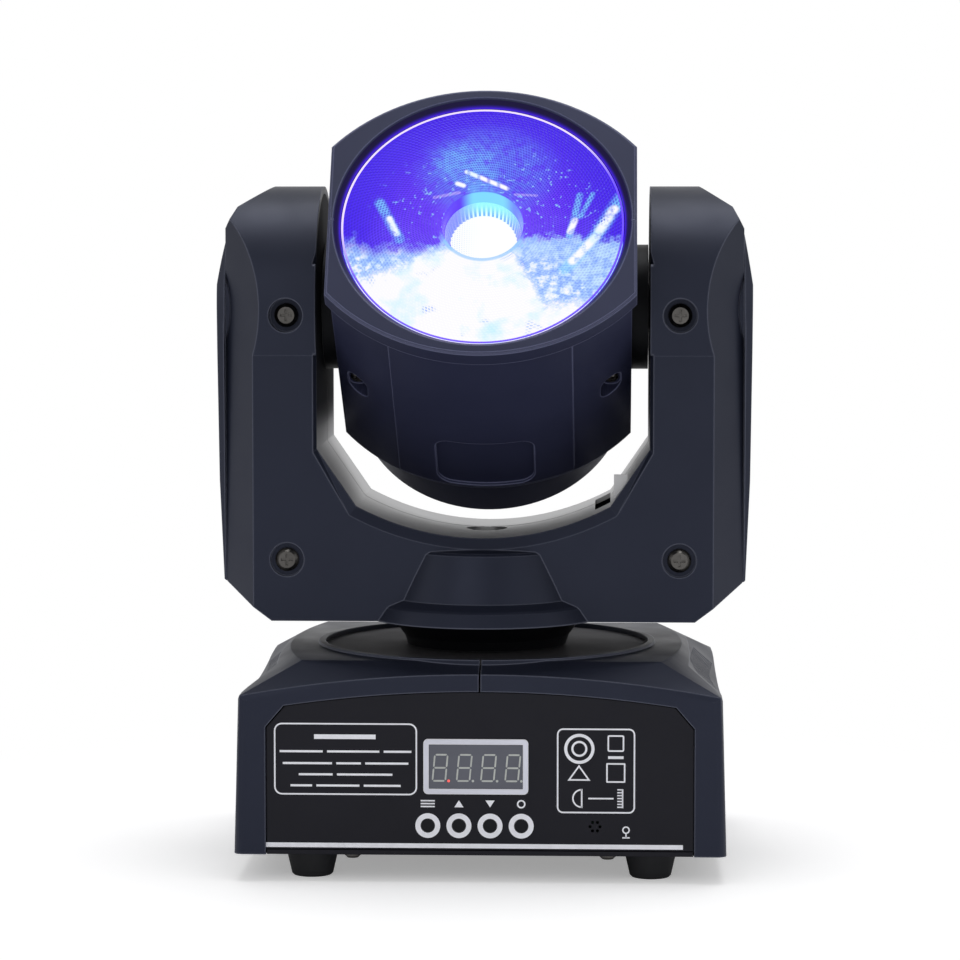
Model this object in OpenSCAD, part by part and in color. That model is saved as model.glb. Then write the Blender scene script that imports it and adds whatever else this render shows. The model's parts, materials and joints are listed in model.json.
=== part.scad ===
// Moving head light: base, panning yoke and tilting head, each built from separate pieces.
// Origin: on the pan axis, at the plane that the feet stand on. +Z up, the display faces -Y.

/* [Base] */
// Width of the base at its bottom edge
base_w = 160; // [150:1:180]
// Depth of the base
base_d = 132; // [124:1:150]
// How far each side wall leans in at its top
base_draft = 1.4; // [0.5:0.1:2.5]
// Thickness of the moulded base walls
base_wall = 2.5; // [2:0.1:3.5]
// Height of the base's four top corners
base_corner_z = 60.5; // [56:0.5:64]
// Rise of the arched front and rear edge above the corners
base_arch = 7.6; // [4:0.2:9]
// Height of the flat plateau round the turntable
plateau_z = 71; // [70:0.5:76]
// Width of the slope on each side, from the base's edge to the plateau's bowed side
shoulder_w = 13.5; // [12:0.25:18]
// Depth of the plateau
plateau_d = 107; // [100:1:116]
// Radius of the plateau's bowed sides
plateau_side_r = 187; // [150:1:260]
// Depth of the scooped side slopes
scoop_depth = 2.6; // [1:0.1:3]
// Pitch of the fine louvre grooves on the side slopes
louvre_pitch = 3.5; // [3:0.1:5]
// Width of the cut between the two cover halves
seam_gap = 0.6; // [0.3:0.1:1]

/* [Feet and bottom] */
// Height of the rubber feet
foot_h = 8.5; // [6:0.5:12]
// Radius of a foot at its top
foot_top_r = 8.5; // [7:0.25:10]
// Radius of a foot at the floor
foot_floor_r = 6.8; // [5:0.2:7]
// Distance between feet across the base
foot_spacing_x = 111; // [100:1:116]
// Distance between feet front to back
foot_spacing_y = 102; // [90:1:106]
// Thickness of the steel bottom plate
plate_t = 1.5; // [1:0.1:2.5]
// Radius of the threaded rigging hole under the base
rigging_r = 4.25; // [3:0.25:5]

/* [Panels] */
// Width of the front and rear panel openings
panel_w = 139; // [130:1:142]
// Height of cover left above the panel opening
panel_band = 5.6; // [4:0.2:8]
// Corner cut of the panel openings
panel_corner = 6; // [3:0.5:9]
// Thickness of the sheet-metal panels
panel_t = 1.5; // [1:0.1:2]
// How far the panels sit behind the cover's face
panel_recess = 0.8; // [0.4:0.1:1.5]
// Outer width of the display frame
display_w = 34; // [30:0.5:38]
// Outer height of the display frame
display_h = 18; // [16:0.5:20]
// Border of the display frame
display_border = 1.75; // [1:0.25:3]
// Pitch of the four buttons
button_pitch = 10.1; // [9:0.1:12]
// Radius of a button
button_r = 2.2; // [1.5:0.1:2.6]
// Radial clearance of a button in its hole
button_clear = 0.1; // [0.05:0.05:0.3]
// Travel of a button
button_travel = 0.5; // [0.25:0.05:0.8]

/* [Turntable] */
// Radius of the raised bead round the turntable
bead_r = 56; // [50:0.5:58]
// Radius of the black pan collar between base and yoke
collar_r = 32; // [26:0.5:36]
// Outer radius of the hollow pan shaft
pan_shaft_r = 10; // [8:0.5:11]
// Bore radius of the hollow pan shaft
pan_bore_r = 7; // [5:0.5:8]
// Running clearance of a shaft in its bearings
run_clear = 0.05; // [0.02:0.01:0.1]
// Radius of the large pan pulley
pan_pulley_r = 28; // [24:0.5:30]
// Width of the drive belts
belt_w = 5; // [4:0.5:5.5]

/* [Yoke] */
// Width over the moulded yoke shells
yoke_w = 172; // [168:1:180]
// Half depth of the yoke's flat faces
yoke_half_d = 37.7; // [34:0.1:38]
// Radius of the rounded arm tops about the tilt axis
arm_r = 40.6; // [39:0.2:43]
// Height of the underside of the yoke
yoke_bottom_z = 82; // [80:0.5:84]
// Height of the tilt axis
tilt_z = 185; // [182:0.5:190]
// Distance between the arms' inner faces
arm_gap = 110; // [108:0.5:114]
// Height of the bottom of the U opening
opening_z = 109.5; // [108:0.5:109.5]
// Wall of the moulded yoke shells
yoke_wall = 2.4; // [1.8:0.1:3]
// Thickness of the sheet-metal yoke frame
frame_t = 1.5; // [1:0.1:2.5]
// How far each side cover stands out from the yoke shells
cover_bulge = 3; // [2:0.25:5]
// Radius of the front boss at the yoke's underside
boss_r = 39; // [36:0.5:42]

/* [Head] */
// Tilt of the beam above level in the rest pose
beam_tilt = 35; // [30:1:40]
// Height of the head's barrel-shaped front
bezel_h = 104.8; // [100:0.2:106]
// Width of the head's barrel-shaped front
bezel_w = 101; // [98:0.5:101.4]
// Radius of the curved top and bottom of the front
bezel_arc_r = 66.5; // [62:0.5:75]
// Distance from the tilt axis to the front rim
bezel_front = 52.2; // [48:0.2:54]
// Distance from the tilt axis to the rear of the head
head_rear = 57; // [54:0.2:57.4]
// Radius of the rear drum of the head
drum_r = 47.4; // [44:0.2:47.6]
// Radius of the lens
lens_r = 46.3; // [44:0.1:46.5]
// How far the lens sits behind the front rim
lens_recess = 3.2; // [2:0.2:5]
// Radius of the tilt hubs
hub_r = 21; // [18:0.5:23]
// Radius of the tilt axles
axle_r = 8; // [6:0.5:9]
// Number of fan blades
fan_blades = 7; // [5:1:9]

/* [Hidden] */
$fn = 48;
eps = 0.01;          // thin slab used inside hulls
over = 1;            // how far a cutter runs past the face it cuts
belt_gap = 0.3;      // air between a belt and a pulley that turns in it
belt_t = 1.2;        // thickness of a belt
seat_gap = 0.3;      // gap between a panel and the opening it sits in

// base
plate_top = foot_h + 0.5 + plate_t;
cover_z = foot_h + 0.5;
arch_r = (pow(base_w / 2, 2) + pow(base_arch, 2)) / (2 * base_arch);
front_y = -base_d / 2;
panel_face = base_d / 2 - panel_recess;
edge_w = base_w - 2 * base_draft;
plateau_w = base_w - 2 * shoulder_w;
panel_z = plate_top + seat_gap;
panel_top = base_corner_z + base_arch - panel_band;
slope_run = edge_w / 2 - plateau_w / 2;
slope_fall = plateau_z - base_corner_z;
slope_angle = atan2(slope_fall, slope_run);
disc_top = plateau_z - 0.8;
disc_t = 2;
disc_r = bead_r - 1.2;
pillar_r = 4;
pillar_x = 25;
pillar_y = base_d / 2 - 23;
button_z = 18.7;
button_x0 = -16.8;
display_x = -1.2;
display_z = 38.1;

// rear panel: places as [x, height]
inlet_pos = [-46, 27];
fuse_pos = [-12, 24];
dmx_in_pos = [16, 32];
dmx_out_pos = [47, 32];
dmx_r = 11.6;
dmx_depth = 17;
inlet_w = 27;
inlet_h = 19.5;
inlet_depth = 22;

// pan drive
bearing_w = 7;
bearing_od = 2 * pan_shaft_r + 12;
block_z0 = 44;
pulley_z = 35;
pulley_h = belt_w + 2;
pan_motor_pos = [48, -10];
motor_pulley_r = 6;
motor_size = 42;
motor_h = 20;
stub_r = 2.5;

// yoke
arm_in = arm_gap / 2;
frame_out = arm_in + frame_t;
facet_x = 10;        // width of the chamfer facet down each arm
facet_y = 12;        // depth of the same facet
u_knee_z = tilt_z - 46;
u_knee_x = 42;
u_low_z = opening_z + 10.6;
u_arc_r = (pow(u_knee_x, 2) + pow(u_low_z - opening_z, 2)) / (2 * (u_low_z - opening_z));
bevel = 3.6;
screw_x = arm_in + (yoke_w / 2 - arm_in) * 0.316;
screw_high_z = 183.2;
screw_low_z = 102.4;
// how far the side covers stand back from their full bulge: [height above the tilt axis, set-back]
cover_bow = [[-92, 0.7], [-57, 0.2], [-15, 0.04], [8, 0], [27, 0.97], [46, 1.9]];
stop_h = 20.7;        // top of the stop tab above the opening's lowest point
seat_in = 13;        // side cover's seat, in from the arm's outline
lip = yoke_wall;     // front lip of the shells, which covers the strip's edge
screw_head_r = 3.9;
screw_well_r = 5.6;
belt_x = yoke_w / 2 - 8;  // inner face of the tilt belt's plane
tilt_motor_h = belt_x - frame_out - 1.5;
tilt_pulley_r = 18;
tilt_motor_z = 130;
collar_z0 = disc_top + 0.4;

// head
lens_front = bezel_front - lens_recess;
rim_depth = 6.5;
body_inset = 1.6;
drum_from = -35;
drum_edge = 1.6;      // chamfer round the drum's rear edge
well = [42, -31.5, 6.5];  // bottom of a head screw's well, in the head's own axes
cavity_r = 44.4;
lens_seat_r = lens_r + 0.3;
lens_edge_t = 4;
cup_r = 13.4;
cup_floor_r = 11.6;
cup_depth = 14;
fan_r = 36;
fan_w = 10;

// ---------- shared shapes ----------

module rounded_rect(w, d, r) {
    hull() for (x = [-1, 1], y = [-1, 1])
        translate([x * (w / 2 - r), y * (d / 2 - r)]) circle(r, $fn = 24);
}

module ring(r_out, r_in, h) {
    difference() {
        cylinder(r = r_out, h = h);
        translate([0, 0, -over]) cylinder(r = r_in, h = h + 2 * over);
    }
}

// Cylinder along X from x0 to x1
module x_cylinder(r, x0, x1) {
    translate([x0, 0, 0]) rotate([0, 90, 0]) cylinder(r = r, h = x1 - x0);
}

// Cylinder along Y from y0 to y1
module y_cylinder(r, y0, y1) {
    translate([0, y1, 0]) rotate([90, 0, 0]) cylinder(r = r, h = y1 - y0);
}

// Turns a flat shape drawn in X and Z, and gives it depth from y0 to y1
module xz_plate(y0, y1) {
    translate([0, y1, 0]) rotate([90, 0, 0]) linear_extrude(y1 - y0) children();
}

// Pan-head screw along Z, its head's underside at the origin and its shank going down
module pan_screw(head_r, shank_r, length) {
    difference() {
        union() {
            cylinder(r = head_r, h = head_r * 0.3);
            translate([0, 0, head_r * 0.3]) cylinder(r1 = head_r, r2 = head_r * 0.7, h = head_r * 0.3);
        }
        for (a = [0, 90]) rotate([0, 0, a])
            translate([-head_r * 0.5, -head_r * 0.11, head_r * 0.3]) cube([head_r, head_r * 0.22, head_r]);
    }
    translate([0, 0, -length]) cylinder(r = shank_r, h = length);
}

// Toothed pulley along Z with a flange on each side
module pulley(r, bore, h, teeth) {
    flange = 1;
    difference() {
        union() {
            cylinder(r = r, h = h);
            for (z = [0, h - flange]) translate([0, 0, z]) cylinder(r = r + 1.5, h = flange);
        }
        translate([0, 0, -over]) cylinder(r = bore, h = h + 2 * over);
        for (i = [0 : teeth - 1]) rotate([0, 0, i * 360 / teeth])
            translate([r - 0.5, -0.5, flange]) cube([over, 1, h - 2 * flange]);
    }
}

// Closed belt round two pulleys, the second one at [x, y]
module belt(r_a, r_b, at, h) {
    linear_extrude(h) difference() {
        hull() {
            circle(r_a + belt_gap + belt_t, $fn = 40);
            translate(at) circle(r_b + belt_gap + belt_t, $fn = 24);
        }
        hull() {
            circle(r_a + belt_gap, $fn = 40);
            translate(at) circle(r_b + belt_gap, $fn = 24);
        }
    }
}

// Square stepper motor standing on the XY plane, with its stub shaft up
module stepper(h, stub) {
    cut = 4;
    difference() {
        union() {
            linear_extrude(h) polygon([for (a = [0 : 90 : 270], s = [-1, 1])
                let (p = [motor_size / 2, s * (motor_size / 2 - cut)])
                [p[0] * cos(a) - p[1] * sin(a), p[0] * sin(a) + p[1] * cos(a)]]);
            cylinder(r = 11, h = h + 0.5);
            cylinder(r = stub_r, h = h + stub);
        }
        for (z = [h * 0.28, h * 0.72]) translate([0, 0, z]) difference() {
            translate([-motor_size, -motor_size, 0]) cube([2 * motor_size, 2 * motor_size, 0.6]);
            translate([0, 0, -over]) cylinder(r = motor_size / 2 + 0.6, h = 3);
        }
    }
}

// ---------- base ----------

// Solid form of the base: drafted walls, arched front and rear edges, bowed plateau
module base_form(inset, top_drop, slope_in) {
    w0 = base_w - 2 * inset;
    w1 = edge_w - 2 * inset;
    steps = 14;
    hull() {
        translate([0, 0, cover_z]) linear_extrude(eps) rounded_rect(w0, base_d - 2 * inset, 3);
        for (s = [-1, 1]) translate([0, s * (base_d / 2 - inset - 0.6), 0])
            xz_plate(-eps, eps) polygon(concat(
                [for (i = [-steps : steps]) let (x = i / steps * (w1 / 2 - 0.6))
                    [x, base_corner_z - top_drop + base_arch - arch_drop(x)]],
                [[w1 / 2 - 0.6, cover_z + 1], [-w1 / 2 + 0.6, cover_z + 1]]));
        translate([0, 0, base_corner_z - top_drop - 1]) linear_extrude(eps)
            rounded_rect(w1, base_d - 2 * inset, 3);
        translate([0, 0, plateau_z - top_drop - eps]) linear_extrude(eps) plateau_outline(slope_in);
    }
}

function arch_drop(x) = arch_r - sqrt(arch_r * arch_r - x * x);

module plateau_outline(slope_in) {
    half = plateau_d / 2 - slope_in;
    n = 8;
    bow = function(y) plateau_w / 2 - slope_in - (plateau_side_r - sqrt(plateau_side_r * plateau_side_r - y * y));
    polygon(concat(
        [for (i = [-n : n]) let (y = i / n * half) [bow(y), y]],
        [for (i = [n : -1 : -n]) let (y = i / n * half) [-bow(y), y]]));
}

// Outline of the panel openings, arched like the cover above them
module panel_outline(gap) {
    half = panel_w / 2 - gap;
    steps = 12;
    flat = half - panel_corner;
    polygon(concat(
        [[half, panel_z - seat_gap + gap], [half, panel_edge_z(half) - gap - panel_corner]],
        [for (i = [steps : -1 : -steps]) let (x = i / steps * flat) [x, panel_edge_z(x) - gap]],
        [[-half, panel_edge_z(half) - gap - panel_corner], [-half, panel_z - seat_gap + gap]]));
}

function panel_edge_z(x) = panel_top - arch_drop(x);

// Shallow scoop in a side slope, with its fine louvre grooves
module side_scoop() {
    scoop_r = (pow(58, 2) + pow(scoop_depth, 2)) / (2 * scoop_depth);
    slope_len = sqrt(pow(slope_run, 2) + pow(slope_fall, 2));
    rim = slope_len * 0.2;
    translate([plateau_w / 2, 0, plateau_z]) rotate([0, slope_angle, 0]) {
        translate([rim, 0, scoop_r - scoop_depth]) rotate([0, 90, 0])
            cylinder(r = scoop_r, h = 30, $fn = 180);
        for (y = [-9.5 : 9.5]) translate([rim + slope_len * 0.15 + abs(y) * 0.2, y * louvre_pitch - 0.6, -scoop_depth - 0.7])
            cube([slope_len * 0.56, 1.2, 3]);
    }
}

module base_cover() {
    difference() {
        union() {
            base_form(0, 0, 0);
            translate([0, 0, plateau_z - over]) ring(bead_r + 1.2, bead_r - 1, over + 0.8);
        }
        base_form(base_wall, base_wall, base_wall + 3);
        translate([0, 0, -over]) linear_extrude(cover_z + over + eps)
            square([base_w - 2 * base_wall, base_d - 2 * base_wall], center = true);
        translate([0, 0, plateau_z - 2 * base_wall]) cylinder(r = bead_r - 1, h = 20);
        for (s = [-1, 1]) front_and_rear(s) xz_plate(front_y - over, front_y + base_wall + over) union() {
            panel_outline(0);
            translate([-panel_w / 2, cover_z - over]) square([panel_w, panel_z - cover_z + over]);
        }
        for (s = [0, 1]) mirror([s, 0, 0]) side_scoop();
    }
    // ledge behind each opening that the panel is screwed to
    for (s = [-1, 1]) front_and_rear(s) for (x = [-1, 1])
        translate([x * (panel_w / 2 + 1.5) - 3, front_y + panel_recess + panel_t, plate_top])
            cube([6, 2, 34]);
}

module front_and_rear(s) {
    mirror([0, s > 0 ? 1 : 0, 0]) children();
}

module base_half(side) {
    intersection() {
        base_cover();
        translate([side > 0 ? seam_gap / 2 : -base_w, -base_d, 0]) cube([base_w - seam_gap / 2, 2 * base_d, 100]);
    }
}

module base_cover_left() {
    color([0.15, 0.16, 0.2]) base_half(-1);
}

module base_cover_right() {
    color([0.15, 0.16, 0.2]) base_half(1);
}

module bottom_plate() {
    color([0.12, 0.12, 0.14]) difference() {
        union() {
            translate([0, 0, cover_z]) linear_extrude(plate_t)
                rounded_rect(base_w - 2 * base_wall - 0.4, base_d - 2 * base_wall - 0.4, 2);
            // edge that shows below each panel
            translate([0, 0, cover_z]) linear_extrude(plate_t)
                square([panel_w - 0.6, base_d - 2 * panel_recess], center = true);
            translate([0, 0, cover_z]) cylinder(r = rigging_r + 3.5, h = 12);
        }
        translate([0, 0, cover_z - over]) cylinder(r = rigging_r, h = 12 + 2 * over);
        for (x = [-1, 1]) for (y = [-1, 1]) translate([x * screw_bx(), y * screw_by(), cover_z - over])
            cylinder(r = 1.5, h = plate_t + 2 * over);
    }
}

function screw_bx() = foot_spacing_x / 2 - 14;
function screw_by() = base_d / 2 - 5;

module feet() {
    color([0.05, 0.05, 0.06]) for (x = [-1, 1], y = [-1, 1])
        translate([x * foot_spacing_x / 2, y * foot_spacing_y / 2, 0]) difference() {
            rotate_extrude() polygon([[0, 0], [foot_floor_r - 0.6, 0], [foot_floor_r, 0.6],
                [foot_top_r, cover_z - 1], [foot_top_r, cover_z], [0, cover_z]]);
            translate([0, 0, -over]) cylinder(r = 2.4, h = 3 + over);
        }
}

module bottom_screws() {
    color([0.6, 0.6, 0.62]) for (x = [-1, 1], y = [-1, 1])
        translate([x * screw_bx(), y * screw_by(), cover_z]) rotate([180, 0, 0]) pan_screw(2.6, 1.5, plate_t);
}

// Sheet panel standing in a cover opening, its outer face towards -Y
module opening_panel() {
    xz_plate(front_y + panel_recess, front_y + panel_recess + panel_t) panel_outline(seat_gap);
}

module front_panel() {
    color([0.13, 0.13, 0.16]) difference() {
        opening_panel();
        translate([display_x, front_y, display_z]) cube([display_w - 2 * display_border + 0.4, 12,
            display_h - 2 * display_border + 0.4], center = true);
        for (i = [0 : 3]) translate([button_x0 + i * button_pitch, 0, button_z])
            y_cylinder(button_r + button_clear, front_y - over, front_y + 6);
        for (a = [0 : 60 : 300]) translate([37.4 + 1.6 * cos(a), 0, button_z + 1.6 * sin(a)])
            y_cylinder(0.5, front_y - over, front_y + 6);
    }
}

module display_frame() {
    color([0.85, 0.85, 0.88]) translate([display_x, 0, display_z]) difference() {
        union() {
            xz_plate(front_y + panel_recess - 0.7, front_y + panel_recess) rounded_rect(display_w, display_h, 1.5);
            xz_plate(front_y + panel_recess, front_y + panel_recess + panel_t + 1)
                square([display_w - 2 * display_border + 0.4, display_h - 2 * display_border + 0.4], center = true);
        }
        xz_plate(front_y - over, front_y + 9) square([display_w - 2 * display_border - 1.2,
            display_h - 2 * display_border - 1.2], center = true);
        xz_plate(front_y - over, front_y + panel_recess + 0.2) square([display_w - 2 * display_border,
            display_h - 2 * display_border], center = true);
    }
}

module display_window() {
    color([0.4, 0.42, 0.46]) translate([display_x, 0, display_z])
        xz_plate(front_y + panel_recess - 0.4, front_y + panel_recess + 0.2)
            square([display_w - 2 * display_border, display_h - 2 * display_border], center = true);
}

// Four-digit display on the control board, one shallow pocket for each digit
module display_module() {
    digit = 7.2;
    face = front_y + panel_recess + panel_t + 1;
    color([0.35, 0.36, 0.4]) translate([display_x, 0, display_z]) difference() {
        xz_plate(face, board_y()) square([30, 14], center = true);
        for (i = [-1.5 : 1.5]) translate([i * digit, 0, 0])
            xz_plate(face - over, face + 0.5) square([5.6, 9.6], center = true);
    }
}

function board_y() = front_y + 12;

module control_board() {
    color([0.05, 0.3, 0.15]) {
        difference() {
            xz_plate(board_y(), board_y() + 1.6) translate([-34, plate_top]) square([86, 38]);
            for (i = [0 : 3]) translate([button_x0 + i * button_pitch, 0, button_z])
                y_cylinder(0.6, board_y() - over, board_y() + 3);
        }
        // tact switches behind the buttons, processor and connectors
        for (i = [0 : 3]) translate([button_x0 + i * button_pitch - 3, button_back(), button_z - 3])
            cube([6, board_y() - button_back(), 6]);
        translate([18, board_y() + 1.6, 28]) cube([12, 2, 12]);
        for (x = [-14, 4, 38]) translate([x, board_y() + 1.6, 18]) cube([10, 6, 7]);
    }
}

// Rear face of a button at rest, one travel clear of its switch
function button_back() = board_y() - 4;

module button(i) {
    reach = button_back() - button_travel - 0.1;
    color([0.08, 0.08, 0.1]) translate([button_x0 + i * button_pitch, 0, button_z]) {
        y_cylinder(button_r, front_y + panel_recess + 0.3, reach);
        y_cylinder(button_r + 0.9, reach - 2, reach);
    }
}

module menu_button() { button(0); }

module up_button() { button(1); }

module down_button() { button(2); }

module enter_button() { button(3); }

// Places rear parts: x to the left seen from behind, y measured in from the panel's outer face
module on_rear(x, z) {
    translate([x, panel_face, z]) children();
}

module rear_panel() {
    color([0.13, 0.13, 0.16]) difference() {
        mirror([0, 1, 0]) opening_panel();
        on_rear(inlet_pos[0], inlet_pos[1]) cube([inlet_w + 0.4, 9, inlet_h + 0.4], center = true);
        on_rear(fuse_pos[0], fuse_pos[1]) y_cylinder(6.2, -5, 3);
        for (p = [dmx_in_pos, dmx_out_pos]) on_rear(p[0], p[1]) y_cylinder(dmx_r + 0.2, -5, 3);
    }
}

// Appliance inlet: flanged box with a hollow for the mains connector
module power_inlet() {
    wall = 1.6;
    color([0.06, 0.06, 0.07]) on_rear(inlet_pos[0], inlet_pos[1]) difference() {
        union() {
            xz_plate(0, 2) rounded_rect(46, 24, 3);
            xz_plate(-inlet_depth, 0) square([inlet_w, inlet_h], center = true);
        }
        xz_plate(-inlet_depth + 3, 3) polygon(socket_outline(inlet_w - 2 * wall, inlet_h - 2 * wall));
        for (x = [-19, 19]) translate([x, 0, 0]) y_cylinder(1.7, -over, 3);
        inlet_pins();
    }
}

function socket_outline(w, h) = [[-w / 2, h / 2], [w / 2, h / 2], [w / 2, -h / 2 + 5],
    [w / 2 - 5, -h / 2], [-w / 2 + 5, -h / 2], [-w / 2, -h / 2 + 5]];

module inlet_pins() {
    for (p = [[-7, -2], [0, 2], [7, -2]]) translate([p[0], 0, p[1]])
        xz_plate(-inlet_depth - 6, -5) square([2, 4], center = true);
}

module power_pins() {
    color([0.75, 0.62, 0.3]) on_rear(inlet_pos[0], inlet_pos[1]) inlet_pins();
}

module fuse_holder() {
    color([0.05, 0.05, 0.06]) on_rear(fuse_pos[0], fuse_pos[1]) difference() {
        union() {
            y_cylinder(6, -28, 0);
            y_cylinder(7.6, 0, 2);
            y_cylinder(5.6, 2, 7.2);
        }
        translate([-0.6, 5.7, -5]) cube([1.2, 3, 10]);
    }
}

module dmx_shell(depth) {
    difference() {
        union() {
            xz_plate(0, 1.8) rounded_rect(26, 31, 2.5);
            y_cylinder(dmx_r, -depth, 0);
        }
        for (s = [-1, 1]) translate([s * 9.5, 0, s * 12]) y_cylinder(1.6, -over, 3);
        children();
    }
}

// Male socket with an open cup round its three pins
module dmx_in_socket() {
    color([0.09, 0.09, 0.1]) on_rear(dmx_in_pos[0], dmx_in_pos[1]) dmx_shell(dmx_depth) {
        y_cylinder(9.8, -dmx_depth + 4, 3);
        dmx_pins();
    }
}

module dmx_pins() {
    for (a = [30, 150, 270]) translate([3.8 * cos(a), 0, 3.8 * sin(a)]) y_cylinder(1.1, -dmx_depth - 2, -2);
}

module dmx_in_pins() {
    color([0.8, 0.8, 0.82]) on_rear(dmx_in_pos[0], dmx_in_pos[1]) dmx_pins();
}

// Female socket: a groove round a core with three contact holes
module dmx_out_socket() {
    color([0.09, 0.09, 0.1]) on_rear(dmx_out_pos[0], dmx_out_pos[1]) dmx_shell(dmx_depth) {
        difference() {
            y_cylinder(9.8, -dmx_depth + 4, 3);
            y_cylinder(7.6, -dmx_depth, 0);
        }
        for (a = [30, 150, 270]) translate([3.8 * cos(a), 0, 3.8 * sin(a)]) y_cylinder(1.2, -10, 3);
    }
}

// Open-frame supply: channel chassis with its transformer, capacitors and chokes
module power_supply() {
    w = 43;
    l = 74;
    z0 = plate_top;
    translate([-base_w / 2 + 5, -l / 2 - 1, z0]) {
        color([0.7, 0.7, 0.72]) {
            cube([w, l, 1.2]);
            for (x = [0, w - 1.2]) translate([x, 0, 0]) cube([1.2, l, 14]);
        }
        color([0.05, 0.3, 0.15]) translate([1.2, 1, 5]) cube([w - 2.4, l - 2, 1.6]);
        color([0.8, 0.75, 0.3]) translate([10, 26, 6.6]) cube([24, 22, 17]);
        color([0.1, 0.1, 0.3]) for (p = [[10, 12], [24, 12], [33, 60]])
            translate([p[0], p[1], 6.6]) cylinder(r = 5, h = 15);
        color([0.3, 0.3, 0.3]) for (y = [2, 66]) translate([8, y, 6.6]) cube([26, 6, 9]);
    }
}

module turntable_disc() {
    color([0.24, 0.23, 0.24]) translate([0, 0, disc_top - disc_t])
        ring(disc_r, pan_shaft_r + 2, disc_t);
}

module disc_pillars() {
    color([0.6, 0.6, 0.62]) for (x = [-pillar_x, pillar_x], y = [-pillar_y, pillar_y])
        translate([x, y, plate_top])
            cylinder(r = pillar_r, h = disc_top - disc_t - plate_top, $fn = 6);
}

module pan_bearing_block() {
    color([0.5, 0.5, 0.52]) difference() {
        union() {
            translate([0, 0, block_z0]) cylinder(r = bearing_od / 2 + 4, h = disc_top - disc_t - block_z0);
            translate([0, 0, disc_top - disc_t - 3]) cylinder(r = bearing_od / 2 + 12, h = 3);
        }
        translate([0, 0, block_z0 - over]) cylinder(r = pan_shaft_r + 2, h = 60);
        for (z = pan_bearing_z()) translate([0, 0, z]) cylinder(r = bearing_od / 2, h = bearing_w);
        translate([0, 0, block_z0 - over]) cylinder(r = bearing_od / 2, h = bearing_w + over + 0.01);
        translate([0, 0, disc_top - disc_t - bearing_w]) cylinder(r = bearing_od / 2, h = bearing_w + over);
    }
}

function pan_bearing_z() = [block_z0, disc_top - disc_t - bearing_w];

// Ball bearing along Z: grooved inner and outer rings, balls held in a cage ring
module ball_bearing(r_in, r_out, w) {
    mid = (r_in + r_out) / 2;
    ball = (r_out - r_in) * 0.24;
    difference() {
        ring(r_out, r_in, w);
        for (z = [-over, w - 0.8]) translate([0, 0, z]) ring(mid + ball, mid - ball, 0.8 + over);
    }
}

module pan_bearings() {
    color([0.8, 0.8, 0.82]) for (z = pan_bearing_z())
        translate([0, 0, z]) ball_bearing(pan_shaft_r + run_clear, bearing_od / 2, bearing_w);
}

module pan_motor() {
    color([0.2, 0.2, 0.22]) translate([pan_motor_pos[0], pan_motor_pos[1], plate_top]) stepper(motor_h, 12.5);
}

module pan_motor_pulley() {
    color([0.75, 0.75, 0.77]) translate([pan_motor_pos[0], pan_motor_pos[1], pulley_z])
        pulley(motor_pulley_r, stub_r + run_clear, pulley_h, 12);
}

module pan_belt() {
    color([0.08, 0.08, 0.08]) translate([0, 0, pulley_z + (pulley_h - belt_w) / 2])
        belt(pan_pulley_r, motor_pulley_r, pan_motor_pos, belt_w);
}

// ---------- pan shaft ----------

// Hollow shaft with a saddle flange that seats under the yoke frame
module pan_shaft() {
    color([0.7, 0.7, 0.72]) difference() {
        union() {
            translate([0, 0, pulley_z]) cylinder(r = pan_shaft_r, h = opening_z - frame_t - pulley_z + 4);
            translate([0, 0, opening_z - frame_t - 4]) cylinder(r = 19, h = 8);
        }
        translate([0, 0, pulley_z - over]) cylinder(r = pan_bore_r, h = 90);
        translate([0, 0, opening_z + u_arc_r]) y_cylinder(u_arc_r + frame_t, -30, 30, $fn = 120);
    }
}

module pan_pulley() {
    color([0.3, 0.3, 0.32]) translate([0, 0, pulley_z]) difference() {
        pulley(pan_pulley_r, pan_shaft_r, pulley_h, 56);
        for (a = [0 : 60 : 300]) rotate([0, 0, a]) translate([pan_pulley_r * 0.66, 0, -over])
            cylinder(r = 4.5, h = pulley_h + 2 * over);
    }
}

module pan_collar() {
    color([0.04, 0.04, 0.05]) translate([0, 0, collar_z0]) difference() {
        rotate_extrude() polygon([[pan_shaft_r, 0], [collar_r - 5, 0], [collar_r - 4, 3],
            [collar_r, yoke_bottom_z - collar_z0 - 3], [collar_r, yoke_bottom_z - collar_z0],
            [pan_shaft_r, yoke_bottom_z - collar_z0]]);
    }
}

// ---------- yoke ----------

// Clear shape of the U opening, seen from the front; grow widens it by its wall
module u_shape(grow, side_grow) {
    x1 = arm_in + side_grow;
    x2 = u_knee_x + grow * 0.6;
    arc = u_arc_r + grow;
    z1 = u_knee_z - grow * 0.3;
    z2 = opening_z + u_arc_r - sqrt(arc * arc - x2 * x2);
    polygon([[-x1, 300], [-x1, z1], [-x2, z2], [x2, z2], [x1, z1], [x1, 300]]);
    intersection() {
        translate([0, opening_z + u_arc_r]) circle(arc, $fn = 120);
        translate([-x2, 0]) square([2 * x2, z2 + eps]);
    }
}

// Side view of an arm, rounded about the tilt axis
module arm_profile(inset) {
    half = yoke_half_d - inset;
    translate([0, tilt_z]) circle(arm_r - inset, $fn = 96);
    translate([-half, yoke_bottom_z + inset]) square([2 * half, tilt_z - yoke_bottom_z - inset]);
}

// Extrudes a shape drawn in Y and Z along X, from x0 to x1
module yz_plate(x0, x1) {
    translate([x0, 0, 0]) rotate([90, 0, 90]) linear_extrude(x1 - x0) children();
}

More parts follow.
